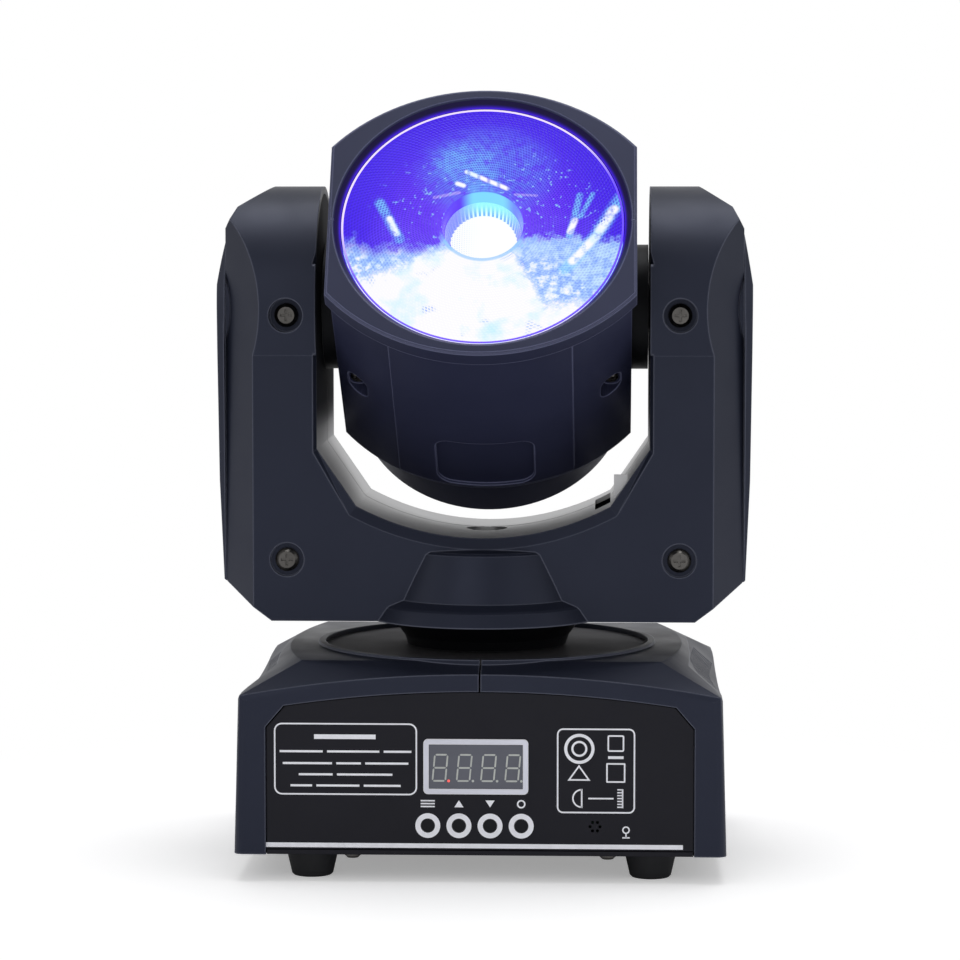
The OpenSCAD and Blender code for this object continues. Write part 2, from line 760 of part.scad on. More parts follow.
// Outer form of the yoke before the U is cut, shrunk by inset for its inside
module yoke_form(inset) {
    half = yoke_w / 2 - inset;
    deep = arm_r + over;
    intersection() {
        xz_plate(-deep, deep) polygon([
            [-half + 16, yoke_bottom_z + inset], [half - 16, yoke_bottom_z + inset],
            [half, yoke_bottom_z + 12 + inset], [half, tilt_z + arm_r - 14],
            [half - 3.8, tilt_z + arm_r - 6.8], [half - 16, tilt_z + arm_r + over],
            [-half + 16, tilt_z + arm_r + over], [-half + 3.8, tilt_z + arm_r - 6.8],
            [-half, tilt_z + arm_r - 14], [-half, yoke_bottom_z + 12 + inset]]);
        yz_plate(-yoke_w, yoke_w) arm_profile(inset);
        linear_extrude(300) polygon(facet_points(half, inset));
    }
}

// Plan section of the yoke, with a chamfer facet at each corner
function facet_points(half, inset) =
    let (y0 = yoke_half_d - facet_y - inset * 0.4, y1 = arm_r + over,
        x1 = half - facet_x * (y1 - y0) / facet_y)
    [[half, -y0], [half, y0], [x1, y1], [-x1, y1], [-half, y0], [-half, -y0], [-x1, -y1], [x1, -y1]];

// Profile of the boss that swells out of the yoke's foot
module foot_boss() {
    top = opening_z - 5.2;
    r = boss_r;
    translate([0, -20, 0]) rotate_extrude($fn = 96) polygon([[0, yoke_bottom_z], [r, yoke_bottom_z],
        [r - 2.6, yoke_bottom_z + 4.3], [r - 3.4, yoke_bottom_z + 5], [r - 7.4, yoke_bottom_z + 7],
        [r - 13.2, top], [r - 14.2, top + 0.8], [0, top + 0.8 + (r - 14.2) * 0.1]]);
}

module yoke_shell() {
    wall = yoke_wall;
    difference() {
        union() {
            difference() {
                yoke_form(0);
                yoke_form(wall);
            }
            // boss, kept clear of the pan shaft behind it
            intersection() {
                foot_boss();
                translate([-60, -80, 0]) cube([120, 80 - yoke_half_d + wall, 120]);
            }
            yoke_posts();
        }
        // opening, with a wide bevel round its front edge
        xz_plate(-60, 60) u_shape(0, 0);
        hull() {
            xz_plate(-yoke_half_d - eps, -yoke_half_d) u_shape(bevel, bevel * 0.3);
            xz_plate(-yoke_half_d + lip * 0.8, -yoke_half_d + lip * 0.8 + eps) u_shape(0, 0);
        }
        for (s = [-1, 1]) {
            for (z = [screw_high_z, screw_low_z]) translate([s * screw_x, 0, z]) {
                y_cylinder(screw_well_r, -60, -yoke_half_d + 2);
                y_cylinder(1.6, -yoke_half_d + over, -yoke_half_d + 9);
            }
            // seat of the side cover
            yz_plate(s > 0 ? yoke_w / 2 - wall - over : -yoke_w / 2 - over,
                s > 0 ? yoke_w / 2 + over : -yoke_w / 2 + wall + over) arm_profile(seat_in);
        }
        translate([0, 0, yoke_bottom_z - over]) cylinder(r = collar_r - 6, h = 2 * wall + over);
        // keep the front half
        translate([-100, 0, 0]) cube([200, 100, 300]);
    }
}

// Screw posts inside a shell
module yoke_posts() {
    for (s = [-1, 1], z = [screw_high_z, screw_low_z]) translate([s * screw_x, 0, z]) {
        y_cylinder(screw_well_r + 1.6, -yoke_half_d + 0.4, -yoke_half_d + 4);
        y_cylinder(4, -yoke_half_d + 4, -22);
    }
}

module yoke_front_shell() {
    color([0.15, 0.16, 0.2]) yoke_shell();
}

module yoke_rear_shell() {
    color([0.15, 0.16, 0.2]) mirror([0, 1, 0]) yoke_shell();
}

// U-shaped sheet frame with bearing cups, motor slots and the lanced tilt stop
module yoke_frame() {
    edge = lip + 0.1;
    color([0.72, 0.73, 0.75]) {
        difference() {
            union() {
                intersection() {
                    xz_plate(-yoke_half_d + edge, yoke_half_d - edge) difference() {
                        u_shape(frame_t, frame_t);
                        u_shape(0, 0);
                    }
                    yz_plate(-90, 90) arm_profile(edge);
                }
                for (s = [0, 1]) mirror([s, 0, 0]) translate([0, 0, tilt_z])
                    x_cylinder(axle_r + 10, frame_out - eps, frame_out + bearing_w);
            }
            for (s = [0, 1]) mirror([s, 0, 0]) translate([0, 0, tilt_z]) {
                x_cylinder(axle_r + 0.6, 40, 80);
                x_cylinder(axle_r + 7, frame_out, 80);
            }
            cylinder(r = pan_bore_r, h = 150);
            // wiring slot, inside the strip's bend
            translate([u_knee_x - 5.2, -18, opening_z]) cube([5.2, 40, 20]);
        }
        // stop tab, bent up to face the front, on the strip's slope
        intersection() {
            translate([u_knee_x + 1.2, -29, opening_z]) cube([4.6, 1.4, stop_h]);
            xz_plate(-yoke_half_d, yoke_half_d) u_shape(0.5, 0.5);
        }
    }
}

// What lies inside the side covers' bowed face, from x_in outwards
module bow_limit(x_in) {
    bow = [for (p = cover_bow) [yoke_w / 2 + cover_bulge * (1 - p[1]), tilt_z + p[0]]];
    ends = [[x_in, bow[len(bow) - 1][1]], [x_in, bow[0][1]]];
    translate([0, yoke_half_d, 0]) rotate([90, 0, 0]) linear_extrude(2 * yoke_half_d)
        polygon(concat(bow, ends));
}

module side_cover() {
    x0 = yoke_w / 2;
    edge = 0.4;
    difference() {
        intersection() {
            union() {
                yz_plate(x0 - yoke_wall, x0) arm_profile(seat_in + 0.3);
                yz_plate(x0, x0 + edge) arm_profile(seat_in - 0.8);
                hull() {
                    yz_plate(x0 + edge, x0 + edge + eps) arm_profile(seat_in - 0.8);
                    yz_plate(x0 + cover_bulge - eps, x0 + cover_bulge) arm_profile(seat_in + 1.2);
                }
            }
            bow_limit(x0 - yoke_wall - 1);
        }
        yz_plate(x0 - 5, x0 - 0.6) arm_profile(seat_in + 2.5);
    }
}

module right_side_cover() {
    color([0.15, 0.16, 0.2]) side_cover();
}

module left_side_cover() {
    color([0.15, 0.16, 0.2]) mirror([1, 0, 0]) side_cover();
}

module yoke_screws() {
    color([0.65, 0.65, 0.67]) for (f = [0, 1]) mirror([0, f, 0])
        for (s = [-1, 1], z = [screw_high_z, screw_low_z])
            translate([s * screw_x, -yoke_half_d + 2, z]) rotate([90, 0, 0])
                pan_screw(screw_head_r, 1.5, 6);
}

module tilt_bearings() {
    color([0.8, 0.8, 0.82]) for (s = [0, 1]) mirror([s, 0, 0])
        translate([frame_out, 0, tilt_z]) rotate([0, 90, 0])
            ball_bearing(axle_r + run_clear, axle_r + 7, bearing_w);
}

module tilt_motor() {
    color([0.2, 0.2, 0.22]) translate([frame_out, 0, tilt_motor_z]) rotate([0, 90, 0])
        stepper(tilt_motor_h, belt_x + belt_w + 0.5 - frame_out - tilt_motor_h);
}

module tilt_motor_pulley() {
    color([0.75, 0.75, 0.77]) translate([belt_x - 0.8, 0, tilt_motor_z]) rotate([0, 90, 0])
        pulley(motor_pulley_r, stub_r + run_clear, belt_w + 1.2, 12);
}

module tilt_belt() {
    color([0.08, 0.08, 0.08]) translate([belt_x + 0.3, 0, tilt_z]) rotate([0, 90, 0])
        belt(tilt_pulley_r, motor_pulley_r, [tilt_z - tilt_motor_z, 0], belt_w - 1);
}

// Motor driver board in the left arm, on four spacers
module driver_board() {
    color([0.05, 0.3, 0.15]) translate([-frame_out - 7.6, 0, 0]) {
        translate([0, -22, tilt_z - 76]) cube([1.6, 44, 52]);
        for (y = [-1, 1], z = [0, 1]) translate([0, y * 18, tilt_z - 72 + z * 44]) x_cylinder(2, 1.6, 7.6);
        translate([-3, -8, tilt_z - 60]) cube([3, 16, 16]);
        for (y = [-18, 8]) translate([-6, y, tilt_z - 40]) cube([6, 10, 8]);
    }
}

// ---------- head ----------

// Head parts are drawn with the beam along +Z and the head's top along +Y
module in_head() {
    translate([0, 0, tilt_z]) rotate([90 - beam_tilt, 0, 0]) children();
}

// Barrel-shaped outline of the head, shrunk by inset
module head_outline(inset) {
    shift = bezel_arc_r - bezel_h / 2;
    intersection() {
        translate([0, -shift]) circle(bezel_arc_r - inset, $fn = 120);
        translate([0, shift]) circle(bezel_arc_r - inset, $fn = 120);
        square([bezel_w - 2 * inset, 2 * bezel_h], center = true);
    }
}

module head_form() {
    rim_z = bezel_front - rim_depth;
    translate([0, 0, rim_z]) linear_extrude(rim_depth - 0.8) head_outline(0);
    translate([0, 0, bezel_front - 0.8]) linear_extrude(0.8) head_outline(0.7);
    translate([0, 0, drum_from]) linear_extrude(rim_z - drum_from) head_outline(body_inset);
    translate([0, 0, -head_rear + drum_edge])
        cylinder(r = drum_r, h = drum_from + head_rear - drum_edge, $fn = 96);
    translate([0, 0, -head_rear]) cylinder(r1 = drum_r - drum_edge, r2 = drum_r, h = drum_edge, $fn = 96);
    // broad raised panel along the top and bottom
    translate([0, 0, drum_from + 3]) linear_extrude(rim_z - drum_from - 3) intersection() {
        head_outline(0.3);
        square([2 * 29.7, 2 * bezel_h], center = true);
    }
}

module rear_grille() {
    for (r = [9 : 6 : 33]) difference() {
        translate([0, 0, -head_rear - over]) ring(r + 3.4, r, 6);
        for (a = [0 : 60 : 300]) rotate([0, 0, a])
            translate([0, -1.2, -head_rear - 2 * over]) cube([50, 2.4, 9]);
    }
}

// Both head shells together, hollow, before they are split at the seam
module head_casing() {
    cavity_z = -head_rear + 2.6;
    difference() {
        head_form();
        translate([0, 0, cavity_z]) cylinder(r = cavity_r, h = lens_front - lens_edge_t - 1 - cavity_z, $fn = 96);
        translate([0, 0, lens_front - lens_edge_t]) cylinder(r = lens_seat_r, h = 30, $fn = 120);
        translate([0, 0, -head_rear + 20]) cylinder(r = lens_seat_r - 1.4, h = head_rear - 20 + lens_front - 3, $fn = 96);
        translate([0, 0, lens_front]) cylinder(r1 = lens_seat_r, r2 = lens_seat_r + 2.4, h = lens_recess + eps, $fn = 120);
        rear_grille();
        // blank recess in the panel, top and bottom
        difference() {
            translate([0, bezel_h, -17.5]) rotate([90, 0, 0]) linear_extrude(2 * bezel_h)
                rounded_rect(33, 27, 5);
            translate([0, 0, -bezel_h]) linear_extrude(2 * bezel_h) head_outline(1.5);
        }
        // wells of the screws that hold the two shells, and their holes
        for (x = [-1, 1], y = [0, 1]) mirror([0, y, 0]) translate([x * well[0], well[1], well[2]])
            rotate([90, 0, 0]) {
                linear_extrude(12) rounded_rect(6.6, 10.4, 3.2);
                translate([0, 0, -4]) cylinder(r = 1.6, h = 5);
            }
        for (s = [0, 1]) mirror([s, 0, 0]) x_cylinder(axle_r, 40, 60);
    }
}

module head_upper_shell() {
    color([0.15, 0.16, 0.2]) in_head() intersection() {
        head_casing();
        translate([-100, 0.1, -100]) cube([200, 100, 200]);
    }
}

module head_lower_shell() {
    color([0.15, 0.16, 0.2]) in_head() intersection() {
        head_casing();
        translate([-100, -100.1, -100]) cube([200, 100, 200]);
    }
}

// Solid collimator lens: flat front with a deep cup, and a curved funnel behind it
module front_lens() {
    back = lens_front - lens_edge_t;
    tail = 12;
    steps = 10;
    color([0.45, 0.4, 1, 0.6]) in_head() difference() {
        rotate_extrude($fn = 120) polygon(concat(
            [[0, lens_front], [lens_r, lens_front], [lens_r, back], [lens_r - 3, back]],
            [for (i = [1 : steps]) let (t = i / steps)
                [(lens_r - 3) * sqrt(1 - t) + 11 * t, back - t * (back - tail)]],
            [[0, tail]]));
        translate([0, 0, lens_front - cup_depth])
            cylinder(r1 = cup_floor_r, r2 = cup_r, h = cup_depth + eps, $fn = 96);
    }
}

module led_module() {
    color([0.9, 0.9, 0.85]) in_head() {
        translate([0, 0, 6.5]) cylinder(r = 24, h = 1.6);
        translate([0, 0, 8.1]) cylinder(r = 8, h = 1.5);
        translate([0, 0, 9.6]) intersection() {
            translate([0, 0, -3.6]) sphere(r = 5.8);
            cylinder(r = 6, h = 3);
        }
    }
}

// Heat sink: round base plate, solid core and radial fins
module heat_sink() {
    color([0.7, 0.7, 0.72]) in_head() {
        translate([0, 0, 2.5]) cylinder(r = cavity_r - 0.2, h = 4, $fn = 96);
        translate([0, 0, -34]) cylinder(r = 13, h = 36.5);
        for (i = [0 : 19]) rotate([0, 0, i * 18]) translate([12.5, -0.8, -34]) cube([28, 1.6, 36.5]);
    }
}

module fan_frame() {
    color([0.07, 0.07, 0.08]) in_head() {
        translate([0, 0, -49]) difference() {
            union() {
                ring(cavity_r - 0.2, fan_r + 1, 13.6);
                cylinder(r = 12, h = 2);
                cylinder(r = 1.5, h = 12);
                for (a = [45, 135]) rotate([0, 0, a])
                    translate([-fan_r - 4, -2, 0]) cube([2 * fan_r + 8, 4, 2]);
            }
        }
    }
}

// Fan rotor: cup-shaped hub and pitched blades
module fan_rotor() {
    hub = 11;
    color([0.1, 0.1, 0.12]) in_head() translate([0, 0, -46.4]) {
        difference() {
            cylinder(r = hub, h = fan_w);
            translate([0, 0, -over]) cylinder(r = 1.5 + run_clear, h = fan_w + 2 * over);
        }
        for (i = [0 : fan_blades - 1]) rotate([0, 0, i * 360 / fan_blades]) intersection() {
            ring(fan_r, hub - 0.5, fan_w);
            translate([hub - 1, 0, fan_w / 2]) rotate([38, 0, 0]) translate([0, -9, -0.7]) cube([30, 18, 1.4]);
        }
    }
}

// Axle with a round hub flange; the left one is hollow for the cables
module tilt_axle(reach) {
    x_cylinder(hub_r, bezel_w / 2 - body_inset, arm_in - 0.5);
    x_cylinder(axle_r, bezel_w / 2 - body_inset - 4, reach);
}

module tilt_axle_right() {
    color([0.1, 0.1, 0.12]) in_head() tilt_axle(belt_x + belt_w);
}

module tilt_axle_left() {
    color([0.1, 0.1, 0.12]) in_head() mirror([1, 0, 0]) difference() {
        tilt_axle(frame_out + bearing_w + 6);
        x_cylinder(axle_r - 3, 40, 90);
    }
}

module tilt_pulley() {
    color([0.3, 0.3, 0.32]) translate([belt_x - 0.8, 0, tilt_z]) rotate([0, 90, 0])
        pulley(tilt_pulley_r, axle_r, belt_w + 1.2, 36);
}

module head_screws() {
    color([0.5, 0.5, 0.52]) in_head() for (x = [-1, 1]) translate([x * well[0], well[1], well[2]])
        rotate([90, 0, 0]) pan_screw(2.6, 1.5, 3);
}

// ---------- nodes ----------

base_cover_left();
base_cover_right();
bottom_plate();
feet();
bottom_screws();
front_panel();
display_frame();
display_window();
display_module();
control_board();
menu_button();
up_button();
down_button();
enter_button();
rear_panel();
power_inlet();
power_pins();
fuse_holder();
dmx_in_socket();
dmx_in_pins();
dmx_out_socket();
power_supply();
turntable_disc();
disc_pillars();
pan_bearing_block();
pan_bearings();
pan_motor();
pan_motor_pulley();
pan_belt();
pan_shaft();
pan_pulley();
pan_collar();
yoke_front_shell();
yoke_rear_shell();
yoke_frame();
left_side_cover();
right_side_cover();
yoke_screws();
tilt_bearings();
tilt_motor();
tilt_motor_pulley();
tilt_belt();
driver_board();
head_upper_shell();
head_lower_shell();
front_lens();
led_module();
heat_sink();
fan_frame();
fan_rotor();
tilt_axle_left();
tilt_axle_right();
tilt_pulley();
head_screws();
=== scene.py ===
"""Moving head light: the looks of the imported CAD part, laid out as a Blender add-on."""

import json
import math

import bpy
import numpy as np
from bpy.props import FloatProperty, FloatVectorProperty, IntProperty, PointerProperty
from mathutils import Euler, Matrix, Vector
from mathutils.bvhtree import BVHTree


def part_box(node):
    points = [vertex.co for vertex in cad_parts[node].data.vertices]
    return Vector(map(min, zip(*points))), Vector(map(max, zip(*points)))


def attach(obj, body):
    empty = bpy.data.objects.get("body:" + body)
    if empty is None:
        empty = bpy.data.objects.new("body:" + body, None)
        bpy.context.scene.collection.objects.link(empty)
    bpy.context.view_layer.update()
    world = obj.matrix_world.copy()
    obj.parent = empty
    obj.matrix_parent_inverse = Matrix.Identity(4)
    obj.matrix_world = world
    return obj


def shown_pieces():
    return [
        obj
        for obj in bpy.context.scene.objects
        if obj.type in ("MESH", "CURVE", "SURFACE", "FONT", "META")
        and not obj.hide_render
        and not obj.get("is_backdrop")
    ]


bl_info = {
    "name": "Moving head light",
    "version": (1, 0, 0),
    "blender": (4, 5, 0),
    "location": "3D View > Sidebar > Light",
    "description": "Finishes, panel printing, lens and studio for a small moving head light",
    "category": "Object",
}

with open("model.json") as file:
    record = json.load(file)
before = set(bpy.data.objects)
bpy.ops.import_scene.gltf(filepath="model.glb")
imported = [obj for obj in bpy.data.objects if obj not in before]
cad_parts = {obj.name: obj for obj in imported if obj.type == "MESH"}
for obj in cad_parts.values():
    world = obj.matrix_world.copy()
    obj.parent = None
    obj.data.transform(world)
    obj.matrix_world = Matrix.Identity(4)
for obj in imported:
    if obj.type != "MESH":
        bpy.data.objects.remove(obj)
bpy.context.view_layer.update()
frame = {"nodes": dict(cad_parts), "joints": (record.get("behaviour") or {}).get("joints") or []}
MM = 0.001
W = H = 960  # the picture's width and height
BEAM_LIFT = math.radians(35)  # how far the head looks up at rest
SIGHT_NEAR, SIGHT_FAR = 800, 1600  # how far off the camera looks for the light, in millimetres
SKIN = 0.8 * MM  # how far behind a surface a place may lie and still count as seen
SEAT = 0.05 * MM  # how deep thin pieces sit in the surface that carries them

# Places in the picture, in its pixels, of edges and of what is put on the surfaces in view
POINTS = {
    "object_left": (218.0, 350.0),
    "object_right": (752.5, 350.0),
    "object_top": (485.0, 89.6),
    "object_bottom": (646.0, 879.4),
    "lens_core": (484.0, 239.0),
    "left_box": (345.5, 759.0),
    "right_box": (596.0, 771.0),
    "digits": (477.5, 768.0),
    "menu_ring": (427.8, 825.5),
    "enter_ring": (521.2, 826.2),
    "pickup_mark": (626.0, 831.7),
    "panel_line": (470.5, 846.0),
    "strip_groove": (485.0, 527.0),
}

# Which finish each piece of the frame takes
FINISHES = {
    "housing": ["base_cover_left", "base_cover_right", "yoke_front_shell", "yoke_rear_shell",
                "left_side_cover", "right_side_cover"],
    "head": ["head_upper_shell", "head_lower_shell"],
    "sheet": ["front_panel", "rear_panel", "bottom_plate"],
    "small": ["pan_collar", "menu_button", "up_button", "down_button", "enter_button",
               "fuse_holder", "dmx_in_socket", "dmx_out_socket", "power_inlet", "fan_frame",
               "fan_rotor", "tilt_axle_left", "tilt_axle_right"],
    "feet": ["feet"],
    "disc": ["turntable_disc"],
    "belt": ["pan_belt", "tilt_belt"],
    "bezel": ["display_frame"],
    "window": ["display_window"],
    "strip": ["yoke_frame"],
    "screws": ["yoke_screws", "head_screws", "bottom_screws", "dmx_in_pins"],
    "brass": ["power_pins"],
    "alloy": ["disc_pillars", "pan_bearing_block", "pan_motor_pulley", "tilt_motor_pulley",
              "pan_pulley", "tilt_pulley", "pan_shaft", "heat_sink"],
    "bearing": ["pan_bearings", "tilt_bearings", "power_supply"],
    "motor": ["pan_motor", "tilt_motor"],
    "board": ["control_board", "driver_board", "display_module"],
    "emitter": ["led_module"],
}


# ---------- settings ----------

def colour(name, text, value):
    """A colour setting, in linear values."""
    return FloatVectorProperty(name=name, description=text, default=value, subtype="COLOR",
                               size=3, min=0, max=1)


def length(name, text, value):
    """A length setting in metres."""
    return FloatProperty(name=name, description=text, default=value, unit="LENGTH", precision=5)


def angle(name, text, degrees):
    """An angle setting, given in degrees and kept in radians."""
    return FloatProperty(name=name, description=text, default=math.radians(degrees),
                         unit="ROTATION")


class CameraSettings(bpy.types.PropertyGroup):
    place_x: length("Place X", "Camera place across the light", 43.4 * MM)
    place_y: length("Place Y", "Camera place in front of the light", -1191.2 * MM)
    place_z: length("Place Z", "Camera height above the floor", 220 * MM)
    turn: angle("Turn", "How far the camera turns to its left", 2.2)
    down: angle("Down", "How far the camera looks down", 4.507)
    lens: FloatProperty(name="Lens", description="Focal length on a 36 mm sensor",
                        default=131.775, unit="CAMERA")


class HousingSettings(bpy.types.PropertyGroup):
    shell: colour("Shell", "Moulded shells of the base and yoke", (0.0105, 0.0125, 0.0220))
    # painted light: the head's colour is paler and bluer than the shell's, painting the violet
    # spill of the lens over the head's shells
    head: colour("Head", "Moulded shells of the head", (0.0215, 0.0240, 0.0530))
    sheet: colour("Sheet", "Painted steel panels", (0.0040, 0.0041, 0.0095))
    small: colour("Small parts", "Black collars, keys and sockets", (0.0035, 0.0036, 0.005))
    disc: colour("Disc", "Matte turntable disc", (0.085, 0.080, 0.082))
    grain: length("Grain", "Size of the moulded grain", 0.3 * MM)
    # edge also sets how wide the painted highlight along the moulded corners is
    edge: length("Edge", "Softening of the moulded edges", 0.8 * MM)


class PrintSettings(bpy.types.PropertyGroup):
    ink: colour("Ink", "Printing on the panel", (0.86, 0.87, 0.93))
    line: length("Line", "Width of the printed lines", 0.5 * MM)
    relief: length("Relief", "Thickness of the ink", 0.06 * MM)
    ring_out: length("Ring", "Outer diameter of the ring round each key", 8.1 * MM)
    ring_in: length("Ring hole", "Inner diameter of the ring", 4.7 * MM)


class DisplaySettings(bpy.types.PropertyGroup):
    digit_height: length("Digit height", "Height of a digit", 9.14 * MM)
    digit_pitch: length("Digit pitch", "Distance between digits", 7.85 * MM)
    slant: angle("Slant", "Slant of the digits", 5)
    segment: colour("Segment", "Unlit segment", (0.50, 0.52, 0.50))
    lit: colour("Lit", "Lit point", (1.0, 0.10, 0.08))
    face: colour("Face", "Window over the digits", (0.105, 0.11, 0.14))


class LensSettings(bpy.types.PropertyGroup):
    rim: colour("Rim", "Light at the rim of the lens", (0.042, 0.001, 0.82))
    body: colour("Body", "Light in the body of the lens", (0.115, 0.010, 0.92))
    patch: colour("Patch", "Cooler patches of light", (0.11, 0.24, 0.90))
    core: colour("Core", "Light in the cup", (0.20, 0.72, 0.97))
    dot_pitch: length("Dot pitch", "Pitch of the moulded dots", 0.95 * MM)
    flutes: IntProperty(name="Flutes", description="Flutes round the cup's floor", default=50,
                        min=12, max=90)


class StageSettings(bpy.types.PropertyGroup):
    floor: colour("Floor", "Floor and backdrop", (0.93, 0.93, 0.94))
    lift: FloatProperty(name="Lift", description="How far the floor near the light is lifted",
                        default=0.32, min=0)
    lamp: FloatProperty(name="Lamp", description="Power of the main lamp", default=7.0,
                        unit="POWER", min=0)
    sky: FloatProperty(name="Sky", description="Brightness of the backdrop as a reflection",
                       default=1.0, min=0)
    room: FloatProperty(name="Room", description="Brightness of the room in front and overhead",
                        default=0.38, min=0)


def settings(group):
    """The settings group of that name."""
    return getattr(bpy.context.scene, "stagelight_" + group)


# ---------- sight lines and measuring ----------

def camera_rig():
    """Place, axes (as a matrix) and focal length in pixels of the scene's camera."""
    cam = bpy.context.scene.camera
    bpy.context.view_layer.update()
    focal = max(W, H) * cam.data.lens / cam.data.sensor_width
    return cam.matrix_world.to_translation(), cam.matrix_world.to_3x3(), focal


def sight(x, y):
    """The ray through a place in the picture: its start and its direction."""
    start, axes, focal = camera_rig()
    cam = bpy.context.scene.camera.data
    side = max(W, H)
    ray = Vector((x - W / 2 + cam.shift_x * side, H / 2 - y + cam.shift_y * side, -focal))
    return start, (axes @ ray).normalized()


def project(places):
    """Places in the scene (n by 3) as places in the picture (n by 2)."""
    start, axes, focal = camera_rig()
    cam = bpy.context.scene.camera.data
    side = max(W, H)
    local = (np.asarray(places, float) - np.array(start)) @ np.array(axes)
    depth = -local[:, 2]
    x = W / 2 - cam.shift_x * side + focal * local[:, 0] / depth
    y = H / 2 + cam.shift_y * side - focal * local[:, 1] / depth
    return np.stack([x, y], 1)


def mesh_places(obj):
    """The finished vertices of an object, in the scene, as an n by 3 array."""
    shown = obj.evaluated_get(bpy.context.evaluated_depsgraph_get())
    mesh = shown.to_mesh()
    co = np.zeros(len(mesh.vertices) * 3)
    mesh.vertices.foreach_get("co", co)
    shown.to_mesh_clear()
    m = np.array(shown.matrix_world)
    return co.reshape(-1, 3) @ m[:3, :3].T + m[:3, 3]


def carrier_tree(names):
    """A search tree over the finished faces of the named objects."""
    places, faces = [], []
    for name in names:
        shown = bpy.data.objects[name].evaluated_get(bpy.context.evaluated_depsgraph_get())
        mesh = shown.to_mesh()
        first = len(places)
        places += [shown.matrix_world @ v.co for v in mesh.vertices]
        faces += [[first + i for i in p.vertices] for p in mesh.polygons]
        shown.to_mesh_clear()
    return BVHTree.FromPolygons(places, faces)


def place(point, carriers):
    """Where the sight line of a named point meets its carriers; a miss takes the nearest place."""
    start, ray = sight(*POINTS[point])
    tree = carrier_tree(carriers)
    hit = tree.ray_cast(start, ray)[0]
    if hit is not None:
        return hit
    tries = [tree.find_nearest(start + ray * i * MM) for i in range(SIGHT_NEAR, SIGHT_FAR)]
    return min((t for t in tries if t[0] is not None), key=lambda t: t[3])[0]


def showing(places):
    """Those of the places that the camera sees."""
    start = camera_rig()[0]
    dg = bpy.context.evaluated_depsgraph_get()
    seen = []
    for p in places:
        ray = Vector(p) - start
        found = bpy.context.scene.ray_cast(dg, start, ray.normalized(), distance=ray.length)
        if not found[0] or (found[1] - start).length > ray.length - SKIN:
            seen.append(p)
    return np.array(seen if seen else places)


def seen_middle(name, part=None):
    """Middle, in the picture, of what shows of a piece, or of its vertices that part picks."""
    places = mesh_places(bpy.data.objects[name])
    if part is not None:
        places = places[part(places)]
    flat = project(showing(places))
    return (flat.min(0) + flat.max(0)) / 2


# ---------- meshes ----------

FRONT = Matrix(((1, 0, 0), (0, 0, -1), (0, 1, 0))).to_4x4()
REAR = Matrix(((-1, 0, 0), (0, 0, 1), (0, 1, 0))).to_4x4()


def head_axes():
    """Axes of the head at rest: across, up along its face, and out along the beam."""
    tilt = next(j for j in frame["joints"] if j["name"] == "tilt")
    rise, run = math.sin(BEAM_LIFT), math.cos(BEAM_LIFT)
    axes = Matrix(((1, 0, 0), (0, rise, -run), (0, run, rise))).to_4x4()
    return Matrix.Translation(Vector(tilt["pos_m"])) @ axes


def add_piece(name, verts, faces, finish, body, smooth=False):
    """Makes a mesh piece that rides on a body."""
    mesh = bpy.data.meshes.new(name)
    mesh.from_pydata([tuple(v) for v in verts], [], faces)
    mesh.validate()
    if smooth:
        mesh.shade_smooth()
    obj = bpy.data.objects.new(name, mesh)
    bpy.context.scene.collection.objects.link(obj)
    mesh.materials.append(finish)
    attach(obj, body)
    return obj


def flat_piece(name, shapes, axes, thick, finish, body):
    """A piece of thin flat shapes, each a loop of points, laid on the plane of axes."""
    verts, faces = [], []
    for loop in shapes:
        n, first = len(loop), len(verts)
        verts += [axes @ Vector((x, y, -SEAT)) for x, y in loop]
        verts += [axes @ Vector((x, y, thick)) for x, y in loop]
        faces.append([first + n + i for i in range(n)])
        faces += [[first + i, first + (i + 1) % n, first + n + (i + 1) % n, first + n + i]
                  for i in range(n)]
    return add_piece(name, verts, faces, finish, body)


def turned_piece(name, rows, axes, steps, finish, body, flutes=0, close=False):
    """A piece turned about the axis of axes; rows are (radius, height, flute depth)."""
    verts, faces = [], []
    for radius, height, flute in rows:
        for i in range(steps):
            a = 2 * math.pi * i / steps
            r = radius - flute * (0.5 + 0.5 * math.cos(flutes * a))
            verts.append(axes @ Vector((r * math.cos(a), r * math.sin(a), height)))
    for j in range(len(rows) - 1):
        for i in range(steps):
            k = (i + 1) % steps
            faces.append([j * steps + i, j * steps + k, (j + 1) * steps + k, (j + 1) * steps + i])
    if close:
        faces.append([(len(rows) - 1) * steps + i for i in range(steps)])
    return add_piece(name, verts, faces, finish, body, smooth=True)


def bar(x, y, w, h):
    """A bar with its middle at x, y."""
    return [(x - w / 2, y - h / 2), (x + w / 2, y - h / 2), (x + w / 2, y + h / 2),
            (x - w / 2, y + h / 2)]


def arc(x, y, r, a0, a1, steps):
    """Points on an arc, angles in degrees."""
    return [(x + r * math.cos(math.radians(a0 + (a1 - a0) * i / steps)),
             y + r * math.sin(math.radians(a0 + (a1 - a0) * i / steps))) for i in range(steps + 1)]


def rounded_loop(x, y, w, h, r, steps=6):
    """Loop of a rectangle with round corners."""
    loop = []
    for sx, sy, a in ((1, 1, 0), (-1, 1, 90), (-1, -1, 180), (1, -1, 270)):
        loop += arc(x + sx * (w / 2 - r), y + sy * (h / 2 - r), r, a, a + 90, steps)
    return loop


def between(outer, inner):
    """The band between two loops with as many points each."""
    n = len(outer)
    return [[outer[i], outer[(i + 1) % n], inner[(i + 1) % n], inner[i]] for i in range(n)]


def box_outline(x, y, w, h, r, line):
    """A rounded rectangle drawn as a line."""
    return between(rounded_loop(x, y, w, h, r),
                   rounded_loop(x, y, w - 2 * line, h - 2 * line, max(r - line, 0.05 * MM)))


def ring_outline(x, y, r_out, r_in, steps=48):
    """A ring."""
    return between(arc(x, y, r_out, 0, 360, steps)[:-1], arc(x, y, r_in, 0, 360, steps)[:-1])


